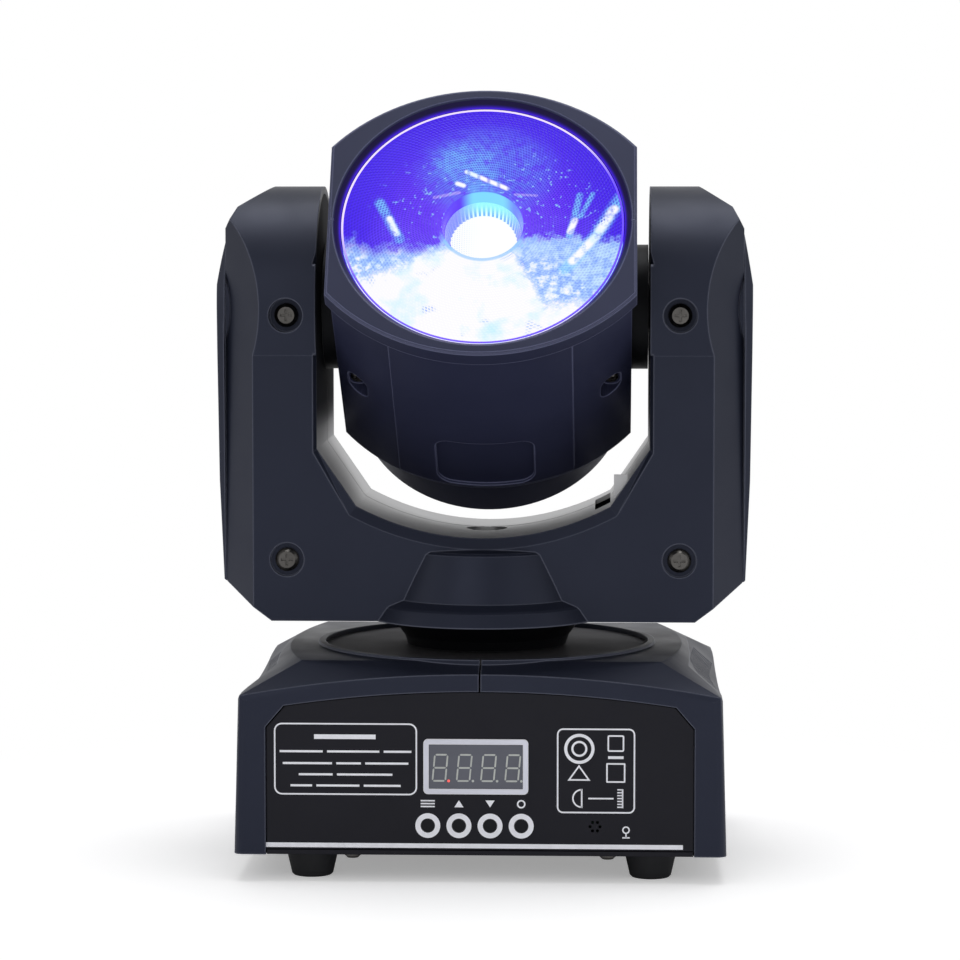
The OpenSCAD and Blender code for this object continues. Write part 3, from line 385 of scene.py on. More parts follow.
def polygon_outline(points, line):
    """A closed outline with mitred corners; points run anticlockwise."""
    n, inner = len(points), []
    for i in range(n):
        p = Vector(points[i])
        a = (p - Vector(points[i - 1])).normalized()
        b = (Vector(points[(i + 1) % n]) - p).normalized()
        na, nb = Vector((-a.y, a.x)), Vector((-b.y, b.x))
        m = (na + nb).normalized()
        q = p + m * (line / max(m.dot(na), 0.3))
        inner.append((q.x, q.y))
    return between(points, inner)


# ---------- finishes ----------

class Value:
    """A number in a node tree; what is worked out from it is worked out by nodes."""

    def __init__(self, tree, socket):
        self.tree, self.socket = tree, socket

    def __add__(self, other):
        return self.tree.math("ADD", self, other)

    def __sub__(self, other):
        return self.tree.math("SUBTRACT", self, other)

    def __rsub__(self, other):
        return self.tree.math("SUBTRACT", other, self)

    def __mul__(self, other):
        return self.tree.math("MULTIPLY", self, other)

    def __abs__(self):
        return self.tree.math("ABSOLUTE", self)


class Tree:
    """A node tree under construction."""

    def __init__(self, tree):
        self.nodes, self.links = tree.nodes, tree.links

    def set(self, node, values):
        """Sets inputs by name or number; a value or socket is linked, anything else written."""
        for key, value in values.items():
            if isinstance(value, Value):
                value = value.socket
            if isinstance(value, bpy.types.NodeSocket):
                self.links.new(value, node.inputs[key])
            else:
                node.inputs[key].default_value = value

    def add(self, kind, values=None, **props):
        """A new node of a kind, such as TexNoise, with its properties and inputs."""
        node = self.nodes.new("ShaderNode" + kind)
        for key, value in props.items():
            setattr(node, key, value)
        self.set(node, values or {})
        return node

    def where(self):
        """The place on the piece, in the scene's coordinates at rest."""
        return self.add("TexCoord").outputs["Object"]

    def parts(self, vector):
        """The three parts of a vector."""
        return [Value(self, part) for part in self.add("SeparateXYZ", {0: vector}).outputs]

    def noise(self, scale, detail=2.0, where=None, rough=0.5):
        """Noise of a scale per metre, or per unit of another place."""
        return Value(self, self.add("TexNoise", {
            "Scale": scale, "Detail": detail, "Roughness": rough,
            "Vector": where or self.where()}).outputs["Fac"])

    def ramp(self, value, low, high, to_low=0.0, to_high=1.0, smooth=False):
        """Maps low..high to to_low..to_high, held at the ends."""
        return Value(self, self.add("MapRange", {
            "Value": value, "From Min": low, "From Max": high, "To Min": to_low,
            "To Max": to_high}, interpolation_type="SMOOTHSTEP" if smooth else "LINEAR").outputs[0])

    def math(self, kind, a, b=0.0):
        """An operation on one or two numbers."""
        return Value(self, self.add("Math", {0: a, 1: b}, operation=kind).outputs[0])

    def larger(self, a, b):
        """The larger of two numbers."""
        return self.math("MAXIMUM", a, b)

    def distance(self, x, y):
        """The distance from the middle of x and y."""
        return self.math("SQRT", x * x + y * y)

    def mix(self, amount, a, b):
        """Mix of two colours."""
        node = self.add("Mix", data_type="RGBA")
        self.set(node, {0: amount, 6: a if isinstance(a, bpy.types.NodeSocket) else (*a, 1),
                        7: b if isinstance(b, bpy.types.NodeSocket) else (*b, 1)})
        return node.outputs[2]


class Finish(Tree):
    """A material under construction, with its main shader."""

    def __init__(self, name, base, rough, metal=0.0):
        self.material = bpy.data.materials.new(name)
        self.material.use_nodes = True
        self.material.diffuse_color = (*base, 1)
        super().__init__(self.material.node_tree)
        self.shader = self.nodes["Principled BSDF"]
        self.set(self.shader, {"Base Color": (*base, 1), "Roughness": rough, "Metallic": metal})
        self.base = base

    def mottle(self, scale, amount):
        """Slight clouding of the base colour."""
        deep = [c * (1 - amount) for c in self.base]
        pale = [min(c * (1 + amount), 1) for c in self.base]
        self.set(self.shader, {"Base Color": self.mix(
            self.ramp(self.noise(scale, 3), 0.35, 0.65), deep, pale)})

    def handle(self, scale, low, high):
        """Roughness that varies, as on a handled surface."""
        self.set(self.shader, {"Roughness": self.ramp(self.noise(scale, 4), 0.3, 0.7, low, high)})

    def bump(self, height, depth, strength=1.0, edge=0.0):
        """Relief from a height, over softened edges."""
        values = {"Height": height, "Distance": depth, "Strength": strength}
        if edge:
            values["Normal"] = self.add("Bevel", {"Radius": edge}, samples=6).outputs[0]
        self.set(self.shader, {"Normal": self.add("Bump", values).outputs[0]})


def moulded(name, base, rough, grain, edge, mottle=0.07):
    """Fine-textured moulded plastic, with painted highlights along its edges."""
    f = Finish(name, base, rough)
    f.mottle(22, mottle)
    f.handle(60, rough - 0.04, rough + 0.06)
    fine = f.noise(1 / grain, 3, rough=0.6)
    f.bump(fine, 0.03 * MM, 0.5, edge)
    # painted highlight: where the bevelled normal turns from the true one, along corners and edges,
    # the base colour is mixed toward a paler tone
    soft = f.add("Bevel", {"Radius": edge * 0.9}, samples=8).outputs[0]
    flat = f.add("NewGeometry").outputs["True Normal"]
    turn = f.add("VectorMath", {0: soft, 1: flat}, operation="DOT_PRODUCT").outputs["Value"]
    bare = f.shader.inputs["Base Color"].links[0].from_socket
    f.set(f.shader, {"Base Color": f.mix(f.ramp(turn, 0.998, 0.955), bare,
                                         [min(c * 3.0 + 0.05, 0.9) for c in base]),
                     "Specular IOR Level": 0.4, "Specular Tint": (0.66, 0.72, 1.0, 1)})
    return f


def painted(name, base, rough, edge):
    """Powder-coated sheet steel, with a slight orange peel."""
    f = Finish(name, base, rough)
    f.mottle(30, 0.06)
    f.handle(90, rough - 0.05, rough + 0.05)
    f.bump(f.noise(1400, 2), 0.02 * MM, 0.4, edge)
    f.set(f.shader, {"Specular IOR Level": 0.25})
    return f


def brushed(name, base, rough, stretch, edge):
    """Brushed metal; stretch gives how fine the brush lines are along each axis."""
    f = Finish(name, base, rough, 1.0)
    along = f.add("Mapping", {"Vector": f.where(), "Scale": stretch}).outputs[0]
    lines = f.noise(1.0, 4, along, 0.7)
    cloud = f.noise(35, 3)
    pale = f.mix(f.ramp(lines, 0.3, 0.7), [c * 0.78 for c in base], base)
    f.set(f.shader, {"Base Color": f.mix(f.ramp(cloud, 0.35, 0.7), pale,
                                         [c * 0.86 for c in base]),
                     "Roughness": f.ramp(lines, 0.3, 0.7, rough - 0.07, rough + 0.1)})
    f.bump(lines, 0.02 * MM, 0.6, edge)
    return f


def machined(name, base, rough, edge):
    """Turned or plated metal with fine scratches."""
    f = Finish(name, base, rough, 1.0)
    f.mottle(150, 0.08)
    f.handle(400, rough - 0.05, rough + 0.08)
    f.bump(f.noise(2500, 2), 0.01 * MM, 0.3, edge)
    return f


def rubber(name, base, rough):
    """Matte rubber."""
    f = Finish(name, base, rough)
    f.mottle(80, 0.12)
    f.bump(f.noise(1800, 3), 0.04 * MM, 0.6, 0.5 * MM)
    f.set(f.shader, {"Specular IOR Level": 0.35})
    return f


def toothed_belt(name, base):
    """Rubber belt with fine cross ribs."""
    f = Finish(name, base, 0.7)
    ribs = f.add("TexWave", {"Vector": f.where(), "Scale": 160.0, "Distortion": 0.4},
                 bands_direction="DIAGONAL").outputs["Fac"]
    f.bump(ribs, 0.1 * MM, 0.7)
    f.mottle(200, 0.15)
    return f


def circuit_board(name, base):
    """Solder mask over tracks and pads."""
    f = Finish(name, base, 0.35)
    cells = f.add("TexVoronoi", {"Vector": f.where(), "Scale": 420.0}, distance="CHEBYCHEV",
                  feature="F2").outputs["Distance"]
    tracks = f.ramp(cells, 0.52, 0.6)
    f.set(f.shader, {"Base Color": f.mix(tracks, base, [c * 1.7 + 0.01 for c in base])})
    f.bump(tracks, 0.03 * MM, 0.5)
    return f


def printing_ink(name, base):
    """Matte ink on the panels."""
    f = Finish(name, base, 0.5)
    f.mottle(300, 0.04)
    f.bump(f.noise(3000, 2), 0.01 * MM, 0.3)
    return f


def give(finish, nodes):
    """Puts a finish on nodes of the frame."""
    for name in nodes:
        slots = frame["nodes"][name].data.materials
        slots.clear()
        slots.append(finish.material)


# ---------- pieces ----------

class Piece(bpy.types.Operator):
    """One piece or group of like pieces of the light"""
    bl_options = {"REGISTER", "UNDO"}

    def execute(self, context):
        self.build()
        return {"FINISHED"}


class STAGELIGHT_OT_camera(Piece):
    """Place the camera as the picture was taken"""
    bl_idname = "stagelight.camera"
    bl_label = "Camera"

    def build(self):
        s = settings("camera")
        data = bpy.data.cameras.new("camera")
        data.sensor_fit, data.sensor_width, data.lens = "AUTO", 36, s.lens
        data.clip_start, data.clip_end = 0.05, 50
        cam = bpy.data.objects.new("camera", data)
        cam.location = (s.place_x, s.place_y, s.place_z)
        cam.rotation_euler = Euler((math.pi / 2 - s.down, 0, s.turn))
        bpy.context.scene.collection.objects.link(cam)
        bpy.context.scene.camera = cam


WHITE = (1, 1, 1, 1)
FLOOR = ((-9, -4, 0), (9, -4, 0), (9, 14, 0), (-9, 14, 0))
FADE_FROM, FADE_TO = 0.09, 0.28  # distances from the middle between which the floor turns white
SIDE_FROM, SIDE_TO = 0.62, 1.0  # how far aside or behind the surroundings brighten, 1 at most
LIGHT_MIDDLE = (0, 0, 0.12)
# Lamps: name, place, size, and share of the main lamp's power
LAMPS = (
    ("key_lamp", (-0.45, -1.2, 0.72), 0.9, 0.32),
    ("fill_lamp", (0.9, -1.0, 0.5), 0.7, 0.17),
    ("low_lamp", (0.2, -1.25, 0.06), 0.5, 0.08),
    ("top_lamp", (0.05, 0.15, 1.5), 0.9, 1.3),
)


class STAGELIGHT_OT_stage(Piece):
    """Lay the floor and set the lamps and the white surroundings"""
    bl_idname = "stagelight.stage"
    bl_label = "Stage"

    def build(self):
        s = settings("stage")
        bpy.context.scene.view_settings.view_transform = "Standard"
        self.lay_floor(s)
        self.hang_sky(s)
        self.hang_lamps(s)

    def lay_floor(self, s):
        """The floor: it keeps the light's shadow, and fades to the white backdrop further off."""
        floor = Finish("studio_floor", s.floor, 0.9)
        floor.mottle(3, 0.01)
        rays = floor.add("LightPath").outputs
        seen = floor.larger(rays["Is Camera Ray"], rays["Is Transmission Ray"])
        away = floor.distance(*floor.parts(floor.where())[:2])
        far = seen * floor.ramp(away, FADE_FROM, FADE_TO, smooth=True)
        white = floor.add("Emission", {"Color": WHITE, "Strength": 1.0})
        lift = floor.add("Emission", {"Color": WHITE, "Strength": seen * s.lift})
        near = floor.add("AddShader", {0: floor.shader.outputs[0], 1: lift.outputs[0]})
        both = floor.add("MixShader", {0: far, 1: near.outputs[0], 2: white.outputs[0]})
        out = next(n for n in floor.nodes if n.type == "OUTPUT_MATERIAL")
        floor.links.new(both.outputs[0], out.inputs["Surface"])
        mesh = bpy.data.meshes.new("studio_floor")
        mesh.from_pydata(FLOOR, [], [(0, 1, 2, 3)])
        mesh.materials.append(floor.material)
        ground = bpy.data.objects.new("studio_floor", mesh)
        bpy.context.scene.collection.objects.link(ground)
        ground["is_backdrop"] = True

    def hang_sky(self, s):
        """Surroundings that are bright behind the light and at its sides, and dim elsewhere."""
        world = bpy.data.worlds.new("studio_sky")
        world.use_nodes = True
        sky = Tree(world.node_tree)
        aside, behind = sky.parts(sky.add("TexCoord").outputs["Generated"])[:2]
        level = sky.ramp(sky.larger(abs(aside), behind), SIDE_FROM, SIDE_TO, s.room, s.sky)
        # the camera itself sees plain white
        shown = sky.add("Mix", {0: sky.add("LightPath").outputs["Is Camera Ray"], 2: level, 3: 1.0})
        sky.set(sky.nodes["Background"], {"Color": WHITE, "Strength": shown.outputs[0]})
        bpy.context.scene.world = world

    def hang_lamps(self, s):
        """Square lamps that look at the light's middle."""
        for name, at, size, share in LAMPS:
            lamp = bpy.data.lights.new(name, "AREA")
            lamp.shape, lamp.size, lamp.energy = "SQUARE", size, s.lamp * share
            obj = bpy.data.objects.new(name, lamp)
            obj.location = at
            aim = Vector(LIGHT_MIDDLE) - Vector(at)
            obj.rotation_euler = aim.to_track_quat("-Z", "Y").to_euler()
            bpy.context.scene.collection.objects.link(obj)


class STAGELIGHT_OT_housing(Piece):
    """Finish the moulded shells, collars, feet and disc"""
    bl_idname = "stagelight.housing"
    bl_label = "Housing"

    def build(self):
        s = settings("housing")
        give(moulded("shell_plastic", s.shell, 0.42, s.grain, s.edge), FINISHES["housing"])
        # painted light: the head's shells take a paler, bluer copy of the shell plastic, for the
        # violet spill of the lens
        give(moulded("head_plastic_painted_spill", s.head, 0.42, s.grain, s.edge), FINISHES["head"])
        small = moulded("small_part_plastic", s.small, 0.45, s.grain, s.edge * 0.6)
        small.set(small.shader, {"Specular IOR Level": 0.25, "Specular Tint": (0.9, 0.93, 1, 1)})
        give(small, FINISHES["small"])
        give(moulded("disc_plastic", s.disc, 0.62, s.grain, s.edge * 0.5, 0.1), FINISHES["disc"])
        give(rubber("foot_rubber", (0.011, 0.0115, 0.014), 0.6), FINISHES["feet"])


BLACK_FROM, BLACK_TO = 136 * MM, 154 * MM  # heights between which the strip turns black
# Turned or plated metals: name, colour, roughness, softening of the edges, and pieces
TURNED_METALS = (
    ("screw_steel", (0.11, 0.105, 0.10), 0.3, 0.1 * MM, "screws"),
    ("brass_pin", (0.62, 0.45, 0.2), 0.3, 0.1 * MM, "brass"),
    ("turned_alloy", (0.6, 0.6, 0.62), 0.35, 0.2 * MM, "alloy"),
    ("bearing_steel", (0.42, 0.42, 0.43), 0.28, 0.2 * MM, "bearing"),
)


class STAGELIGHT_OT_metalwork(Piece):
    """Finish the sheet, brushed strip, screws, pins, shafts and pulleys"""
    bl_idname = "stagelight.metalwork"
    bl_label = "Metalwork"

    def build(self):
        s = settings("housing")
        give(painted("panel_paint", s.sheet, 0.42, 0.2 * MM), FINISHES["sheet"])
        give(self.strip(), FINISHES["strip"])
        for name, base, rough, edge, group in TURNED_METALS:
            give(machined(name, base, rough, edge), FINISHES[group])
        give(painted("motor_black", (0.02, 0.02, 0.022), 0.4, 0.3 * MM), FINISHES["motor"])

    def strip(self):
        """The yoke's strip: brushed round the bottom, blacked on the arms' inner faces."""
        f = brushed("brushed_strip", (0.53, 0.53, 0.54), 0.36, (55, 2600, 55), 0.2 * MM)
        black = f.ramp(f.parts(f.where())[2], BLACK_FROM, BLACK_TO, smooth=True)
        bare, worn = (f.shader.inputs[key].links[0].from_socket
                      for key in ("Base Color", "Roughness"))
        f.set(f.shader, {"Base Color": f.mix(black, bare, (0.010, 0.011, 0.016)),
                         "Roughness": f.larger(worn, black * 0.75),
                         "Metallic": 1.0 - black,
                         "Specular IOR Level": 0.2})
        return f


class STAGELIGHT_OT_electronics(Piece):
    """Finish the boards, belts and the light source"""
    bl_idname = "stagelight.electronics"
    bl_label = "Electronics"

    def build(self):
        give(circuit_board("green_board", (0.01, 0.08, 0.035)), FINISHES["board"])
        give(toothed_belt("belt_rubber", (0.012, 0.012, 0.013)), FINISHES["belt"])
        give(painted("emitter_ceramic", (0.75, 0.68, 0.35), 0.5, 0.1 * MM), FINISHES["emitter"])


DIGITS = 4
DIGIT_SHAPE = 0.52  # a digit's width as a share of its height
SEGMENT_LINE, SEGMENT_GAP = 0.6 * MM, 0.22 * MM
POINT_ROOM = 0.35 * MM  # how far the digits move left to make room for their points


class STAGELIGHT_OT_display(Piece):
    """Finish the display's frame and window, and set its four digits"""
    bl_idname = "stagelight.display"
    bl_label = "Display"

    def build(self):
        s = settings("display")
        give(moulded("display_frame_plastic", (0.74, 0.75, 0.84), 0.4, 0.3 * MM, 0.3 * MM),
             FINISHES["bezel"])
        face = Finish("display_window_acrylic", s.face, 0.3)
        face.mottle(60, 0.05)
        face.bump(face.noise(900, 2), 0.01 * MM, 0.2, 0.2 * MM)
        give(face, FINISHES["window"])
        unlit = Finish("segment_grey", s.segment, 0.5)
        unlit.mottle(500, 0.06)
        lit = Finish("point_red", s.lit, 0.4)
        lit.mottle(500, 0.05)
        lit.set(lit.shader, {"Emission Color": (*s.lit, 1), "Emission Strength": 0.8})

        axes = Matrix.Translation(place("digits", ["display_window"])) @ FRONT
        shapes, points = [], []
        for k in range(DIGITS):
            middle = (k - (DIGITS - 1) / 2) * s.digit_pitch - POINT_ROOM
            shapes += self.segments(s, middle)
            points.append(self.point(s, middle))
        flat_piece("unlit_segments", shapes, axes, 0.05 * MM, unlit.material, "base")
        flat_piece("unlit_points", points[1:], axes, 0.05 * MM, unlit.material, "base")
        flat_piece("lit_point", points[:1], axes, 0.07 * MM, lit.material, "base")

    def segments(self, s, middle):
        """The seven pointed segments of a digit, slanted about its middle."""
        high, wide, line = s.digit_height, s.digit_height * DIGIT_SHAPE, SEGMENT_LINE
        half, lean = high / 2, math.tan(s.slant)
        strokes = [((-wide / 2, y), (wide / 2, y)) for y in (half, 0, -half)]
        strokes += [((sx * wide / 2, sy * half), (sx * wide / 2, 0))
                    for sx in (-1, 1) for sy in (-1, 1)]
        shapes = []
        for a, b in strokes:
            a, b = Vector(a), Vector(b)
            along = (b - a).normalized()
            side, tip = Vector((-along.y, along.x)) * line / 2, along * line / 2
            a, b = a + along * SEGMENT_GAP, b - along * SEGMENT_GAP
            loop = [a, a + tip - side, b - tip - side, b, b - tip + side, a + tip + side]
            shapes.append([(middle + p.x * (1 - line / wide) + p.y * lean,
                            p.y * (1 - line / high)) for p in loop])
        return shapes

    def point(self, s, middle):
        """The round point at the lower right of a digit."""
        half = s.digit_height / 2
        x = middle + half * DIGIT_SHAPE + 0.8 * MM - half * math.tan(s.slant)
        return arc(x, SEGMENT_LINE / 2 - half, 0.42 * MM, 0, 330, 11)


class STAGELIGHT_OT_panel_print(Piece):
    """Print the plain outlines, rings and signs on the front panel"""
    bl_idname = "stagelight.panel_print"
    bl_label = "Front printing"

    def build(self):
        s = settings("print")
        ink = printing_ink("panel_ink", s.ink)
        self.print_on("left_box", self.left_box(s.line), ink)
        self.print_on("right_box", self.right_box(s.line), ink)
        self.print_keys(s, ink)
        self.print_on("pickup_mark", self.pickup_mark(), ink)
        self.print_edge(s, ink)

    def left_box(self, line):
        """An outline with a heading and rows of plain bars."""
        w, h, gap = 46.5 * MM, 23.5 * MM, 1.4 * MM
        shapes = box_outline(0, 0, w, h, 2.6 * MM, line)
        shapes.append(bar(-0.2 * MM, h * 0.31, 20 * MM, 1.5 * MM))
        # each row's height as a share of the box, and the lengths of its bars in millimetres
        for y, bars in ((0.105, (14, 17, 9)), (-0.06, (16, 8, 14)), (-0.215, (11, 18)),
                        (-0.37, (7, 14, 12))):
            x = -(sum(bars) * MM + gap * (len(bars) - 1)) / 2
            for long in bars:
                shapes.append(bar(x + long * MM / 2, y * h, long * MM, 0.7 * MM))
                x += long * MM + gap
        return shapes

    def right_box(self, line):
        """An outline with rings, boxes, a triangle, and a half round beside a comb."""
        shapes = box_outline(0, 0, 25.3 * MM, 27.7 * MM, 2.0 * MM, line)
        for r_out, r_in in ((4.9, 3.9), (2.6, 1.9)):
            shapes += ring_outline(-5.4 * MM, 7.2 * MM, r_out * MM, r_in * MM)
        for y, w, h, r in ((9.0, 5.4, 5.4, 0.6), (-0.6, 6.2, 6.4, 0.3)):
            shapes += box_outline(6.4 * MM, y * MM, w * MM, h * MM, r * MM, line)
        shapes.append(bar(6.4 * MM, 4.4 * MM, 5.0 * MM, 0.9 * MM))
        corners = ((-9.2, -3.2), (-1.8, -3.2), (-5.5, 2.0))
        shapes += polygon_outline([(x * MM, y * MM) for x, y in corners], line)
        x, y, r = -4.6 * MM, -9.0 * MM, 3.1 * MM
        shapes += between(arc(x, y, r, 90, 270, 16), arc(x, y, r - line, 90, 270, 16))[:-1]
        shapes += [bar(x, y, line, 2 * r), bar(8.6 * MM, y, line, 2 * r)]
        shapes += [bar(7.7 * MM, (-11.8 + 0.95 * i) * MM, 1.6 * MM, 0.4 * MM) for i in range(7)]
        shapes.append(bar(1.6 * MM, y, 8.2 * MM, line))
        return shapes

    def print_keys(self, s, ink):
        """A ring round each key, with a plain sign over it."""
        rings, signs = [], []
        for key in ("menu", "up", "down", "enter"):
            lo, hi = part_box(key + "_button")
            x, z = (lo.x + hi.x) / 2, (lo.z + hi.z) / 2
            rings += ring_outline(x, z, s.ring_out / 2, s.ring_in / 2)
            signs += self.key_sign(key, x, z + 7.2 * MM)
        lo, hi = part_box("front_panel")
        axes = Matrix.Translation((0, lo.y, 0)) @ FRONT
        flat_piece("key_rings", rings, axes, s.relief, ink.material, "base")
        flat_piece("key_signs", signs, axes, s.relief, ink.material, "base")

    def key_sign(self, key, x, y):
        """Three bars, a triangle that points up or down, or a small ring."""
        wide, high = 1.5 * MM, 1.15 * MM
        if key == "menu":
            return [bar(x, y + d * 0.95 * MM, 4.6 * MM, 0.45 * MM) for d in (-1, 0, 1)]
        if key == "up":
            return [[(x - wide, y - high), (x + wide, y - high), (x, y + high)]]
        if key == "down":
            return [[(x - wide, y + high), (x, y - high), (x + wide, y + high)]]
        return ring_outline(x, y, 1.4 * MM, 0.9 * MM, 24)

    def pickup_mark(self):
        """A small ring on a stem and foot, for the pickup holes beside it."""
        shapes = ring_outline(0, 0.5 * MM, 1.25 * MM, 0.8 * MM, 24)
        shapes.append(bar(0, -1.35 * MM, 0.45 * MM, 1.3 * MM))
        shapes.append(bar(0, -2.0 * MM, 2.4 * MM, 0.45 * MM))
        return shapes

    def print_edge(self, s, ink):
        """The pale edge of the panel above the bottom plate."""
        lo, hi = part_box("front_panel")
        at = place("panel_line", ["front_panel", "bottom_plate"])
        axes = Matrix.Translation((at.x, lo.y, at.z)) @ FRONT
        flat_piece("panel_line", [bar(0, 0, (hi.x - lo.x) - 0.8 * MM, 1.5 * MM)], axes,
                   s.relief, ink.material, "base")

    def print_on(self, name, shapes, ink):
        """Lays shapes on the front panel at their point in the picture."""
        at = place(name, ["front_panel"])
        flat_piece(name, shapes, Matrix.Translation(at) @ FRONT, settings("print").relief,
                   ink.material, "base")


class HeadFinish(Finish):
    """A lit material on the head, worked out in millimetres from the tilt axis."""

    def __init__(self, name, base, rough):
        super().__init__(name, base, rough)
        self.spot = self.add("Mapping", {"Vector": self.where(),
                                         "Location": head_axes().to_translation(),
                                         "Rotation": (math.pi / 2 - BEAM_LIFT, 0, 0),
                                         "Scale": (MM, MM, MM)}, vector_type="TEXTURE").outputs[0]
        # across the head, up its face, and out along the beam
        self.across, self.up, self.out = self.parts(self.spot)

    def glow(self, tint, level):
        """Makes the surface give light of that colour."""
        self.set(self.shader, {"Emission Color": tint, "Emission Strength": level})

    def stroke(self, start, end, wide):
        """A soft bright stroke between two places on the face."""
        run = math.dist(start, end)
        dx, dy = (end[0] - start[0]) / run, (end[1] - start[1]) / run
        x, y = self.across - start[0], self.up - start[1]
        along, off = x * dx + y * dy, x * dy - y * dx
        past = self.larger(self.larger(along - run, along * -1.0), 0.0)
        return self.ramp(self.distance(off, past), wide, wide * 0.3, smooth=True)

    def strokes(self, rows):
        """The brightest of several strokes."""
        lit = 0.0
        for row in rows:
            lit = self.larger(self.stroke(*row), lit)
        return lit

    def patch(self, middle, wide, high, core=0.2):
        """A soft oval patch on the face."""
        x = (self.across - middle[0]) * (1 / wide)
        y = (self.up - middle[1]) * (1 / high)
        return self.ramp(x * x + y * y, 1.0, core, smooth=True)


# Strokes of light on the lens, in millimetres from its middle: start, end and half width
BEAMS = (((-34, 8.5), (-27, -6), 2.4), ((31.8, 11.5), (28.4, -4.5), 1.6),
         ((36, 12), (32, 3), 1.2), ((45, 10), (37.5, -4), 3.2), ((37.5, -4), (27, -18), 3.0))
BEAM_HEARTS = (((-30.6, 2.2), (-28.0, -3.8), 1.5), ((30.2, 1.5), (28.6, -3), 1.5),
               ((43, 6), (38, -3), 2.2), ((37, -5), (29.5, -14.5), 2.2))
DASHED = ((-5.6, 20.9), (7.8, 14.2), 1.15)
DASH = ((-8.6, 16.2), (-6.6, 15.4), 1.2)
FAINT = (((-16, 10.6), (-8, 12.6), 0.9), ((10.5, 11.8), (17.5, 11.4), 0.7))
CUP = 13.9  # radius of the lens's cup, in millimetres


class LensFinish(HeadFinish):
    """The lens: light from violet at the rim to white low down, over rings of dots."""

    def __init__(self, s, face):
        super().__init__("lens_moulding", (0.03, 0.02, 0.12), 0.16)
        self.away = self.distance(self.across, self.up)
        self.cloud = self.noise(0.06, 4, self.spot, 0.62)
        self.fleck = self.noise(0.42, 4, self.spot, 0.6)
        self.dots = self.dot_grid(s.dot_pitch)
        self.tint = self.mix(self.ramp(self.away, 20, 44, smooth=True), s.body, s.rim)
        self.lay_haze(s)
        fringe, white = self.lay_low_part()
        self.lay_dots(fringe, self.larger(white, self.lay_strokes()))
        self.lay_cup(s, face)
        self.glow(self.tint, 0.95)
        self.bump(self.ramp(self.dots, 0.1, 0.5, 1.0, 0.0), 0.12 * MM, 0.5)
        self.set(self.shader, {"Coat Weight": 0.05, "Coat Roughness": 0.1,
                               "Specular IOR Level": 0.15})

    def lay(self, amount, colour):
        """Lays a colour over the tint."""
        self.tint = self.mix(amount, self.tint, colour)

    def dot_grid(self, pitch):
        """Distance from the nearest moulded dot, in pitches; the dots stand in rings."""
        around = round(2 * math.pi * 30 * MM / pitch)  # true to the pitch 30 mm from the middle
        turn = self.math("ARCTAN2", self.across, self.up) * (around / (2 * math.pi))
        ring = self.away * (MM / pitch)
        grid = self.add("CombineXYZ", {0: turn + ring * 0.5, 1: ring}).outputs[0]
        return self.add("TexVoronoi", {"Vector": grid, "Scale": 1.0, "Randomness": 0.05},
                        voronoi_dimensions="2D", feature="F1").outputs["Distance"]

    def lay_haze(self, s):
        """Paler haze beside the cup, blue patches over it, and a cyan heart."""
        haze = self.patch((0, -4), 46, 20) * self.ramp(self.cloud, 0.36, 0.62)
        self.lay(haze * 0.5, (0.17, 0.09, 0.98))
        crown = self.patch((1, 21), 27, 21, 0.1) * self.ramp(self.fleck, 0.28, 0.56)
        self.lay(crown * 0.85, s.patch)
        heart = self.larger(self.patch((-6, 24), 13, 10), self.patch((0, 16), 7, 9))
        self.lay(heart * self.ramp(self.fleck, 0.3, 0.6, 0.2, 1.0) * 0.8, (0.17, 0.52, 0.98))

    def lay_low_part(self):
        """The bright lower part with its ragged edge, and the cooler area at its right."""
        ragged = (self.cloud - 0.5) * 16.0 + (self.fleck - 0.5) * 13.0
        level = self.up + ragged
        left = self.ramp(self.across, -45, -13, -25, -6)
        right = self.ramp(self.across, 9, 21, -8, -30)
        slope = self.ramp(self.across, 8, 44, -7, -22)
        white = self.ramp(self.math("MINIMUM", left, right) - level, 0.0, 4.0, smooth=True)
        cool = self.ramp(slope - level, -2.0, 6.0, smooth=True)
        cool = cool * self.ramp(self.across, 46, 34, 0.25, 1.0)
        fringe = self.larger(cool, self.ramp(left - level, -3.0, 2.0, smooth=True))
        pale = self.mix(self.ramp(self.fleck, 0.32, 0.60), (0.28, 0.52, 0.98), (0.60, 0.90, 1.0))
        self.lay(fringe * 0.9, pale)
        return fringe, self.larger(white, cool * self.ramp(self.fleck, 0.48, 0.66))

    def lay_strokes(self):
        """Strokes of cyan light and sparks; gives back the strokes that are white."""
        beam = self.strokes(BEAMS) * self.ramp(self.fleck, 0.3, 0.55, 0.25, 1.0)
        hot = self.strokes(BEAM_HEARTS) * self.ramp(self.fleck, 0.34, 0.5, 0.3, 1.0)
        breaks = self.ramp(self.math("COSINE", self.across * 1.9), -1.0, -0.1, 0.35, 1.0)
        dashes = self.larger(self.stroke(*DASHED) * breaks, self.stroke(*DASH))
        spark = self.ramp(self.noise(0.62, 1, self.spot), 0.66, 0.72)
        self.lay(beam * 0.8, (0.22, 0.70, 1.0))
        self.lay(self.strokes(FAINT) * 0.6, (0.62, 0.50, 1.0))
        self.lay(spark * self.patch((4, 8), 44, 26, 0.3) * 0.75, (0.35, 0.72, 1.0))
        return self.larger(hot, dashes)

    def lay_dots(self, fringe, bright):
        """Dark violet dots, then the white, through which they show in a few places."""
        shade = self.ramp(self.dots, 0.46, 0.26) * self.ramp(self.away, 14, 18, 0.4, 0.75)
        self.lay(shade * (1.0 - fringe * 0.65), (0.030, 0.003, 0.60))
        self.lay(self.ramp(self.dots, 0.55, 0.7) * 0.18, (0.30, 0.20, 1.0))
        holes = self.ramp(self.noise(0.11, 2, self.spot), 0.63, 0.70)
        holes = self.ramp(self.dots, 0.42, 0.26) * holes
        white = self.mix(self.ramp(self.cloud, 0.50, 0.68), (1, 1, 1), (0.62, 0.92, 1.0))
        self.lay(self.larger(bright - holes * 0.8, 0.0), white)

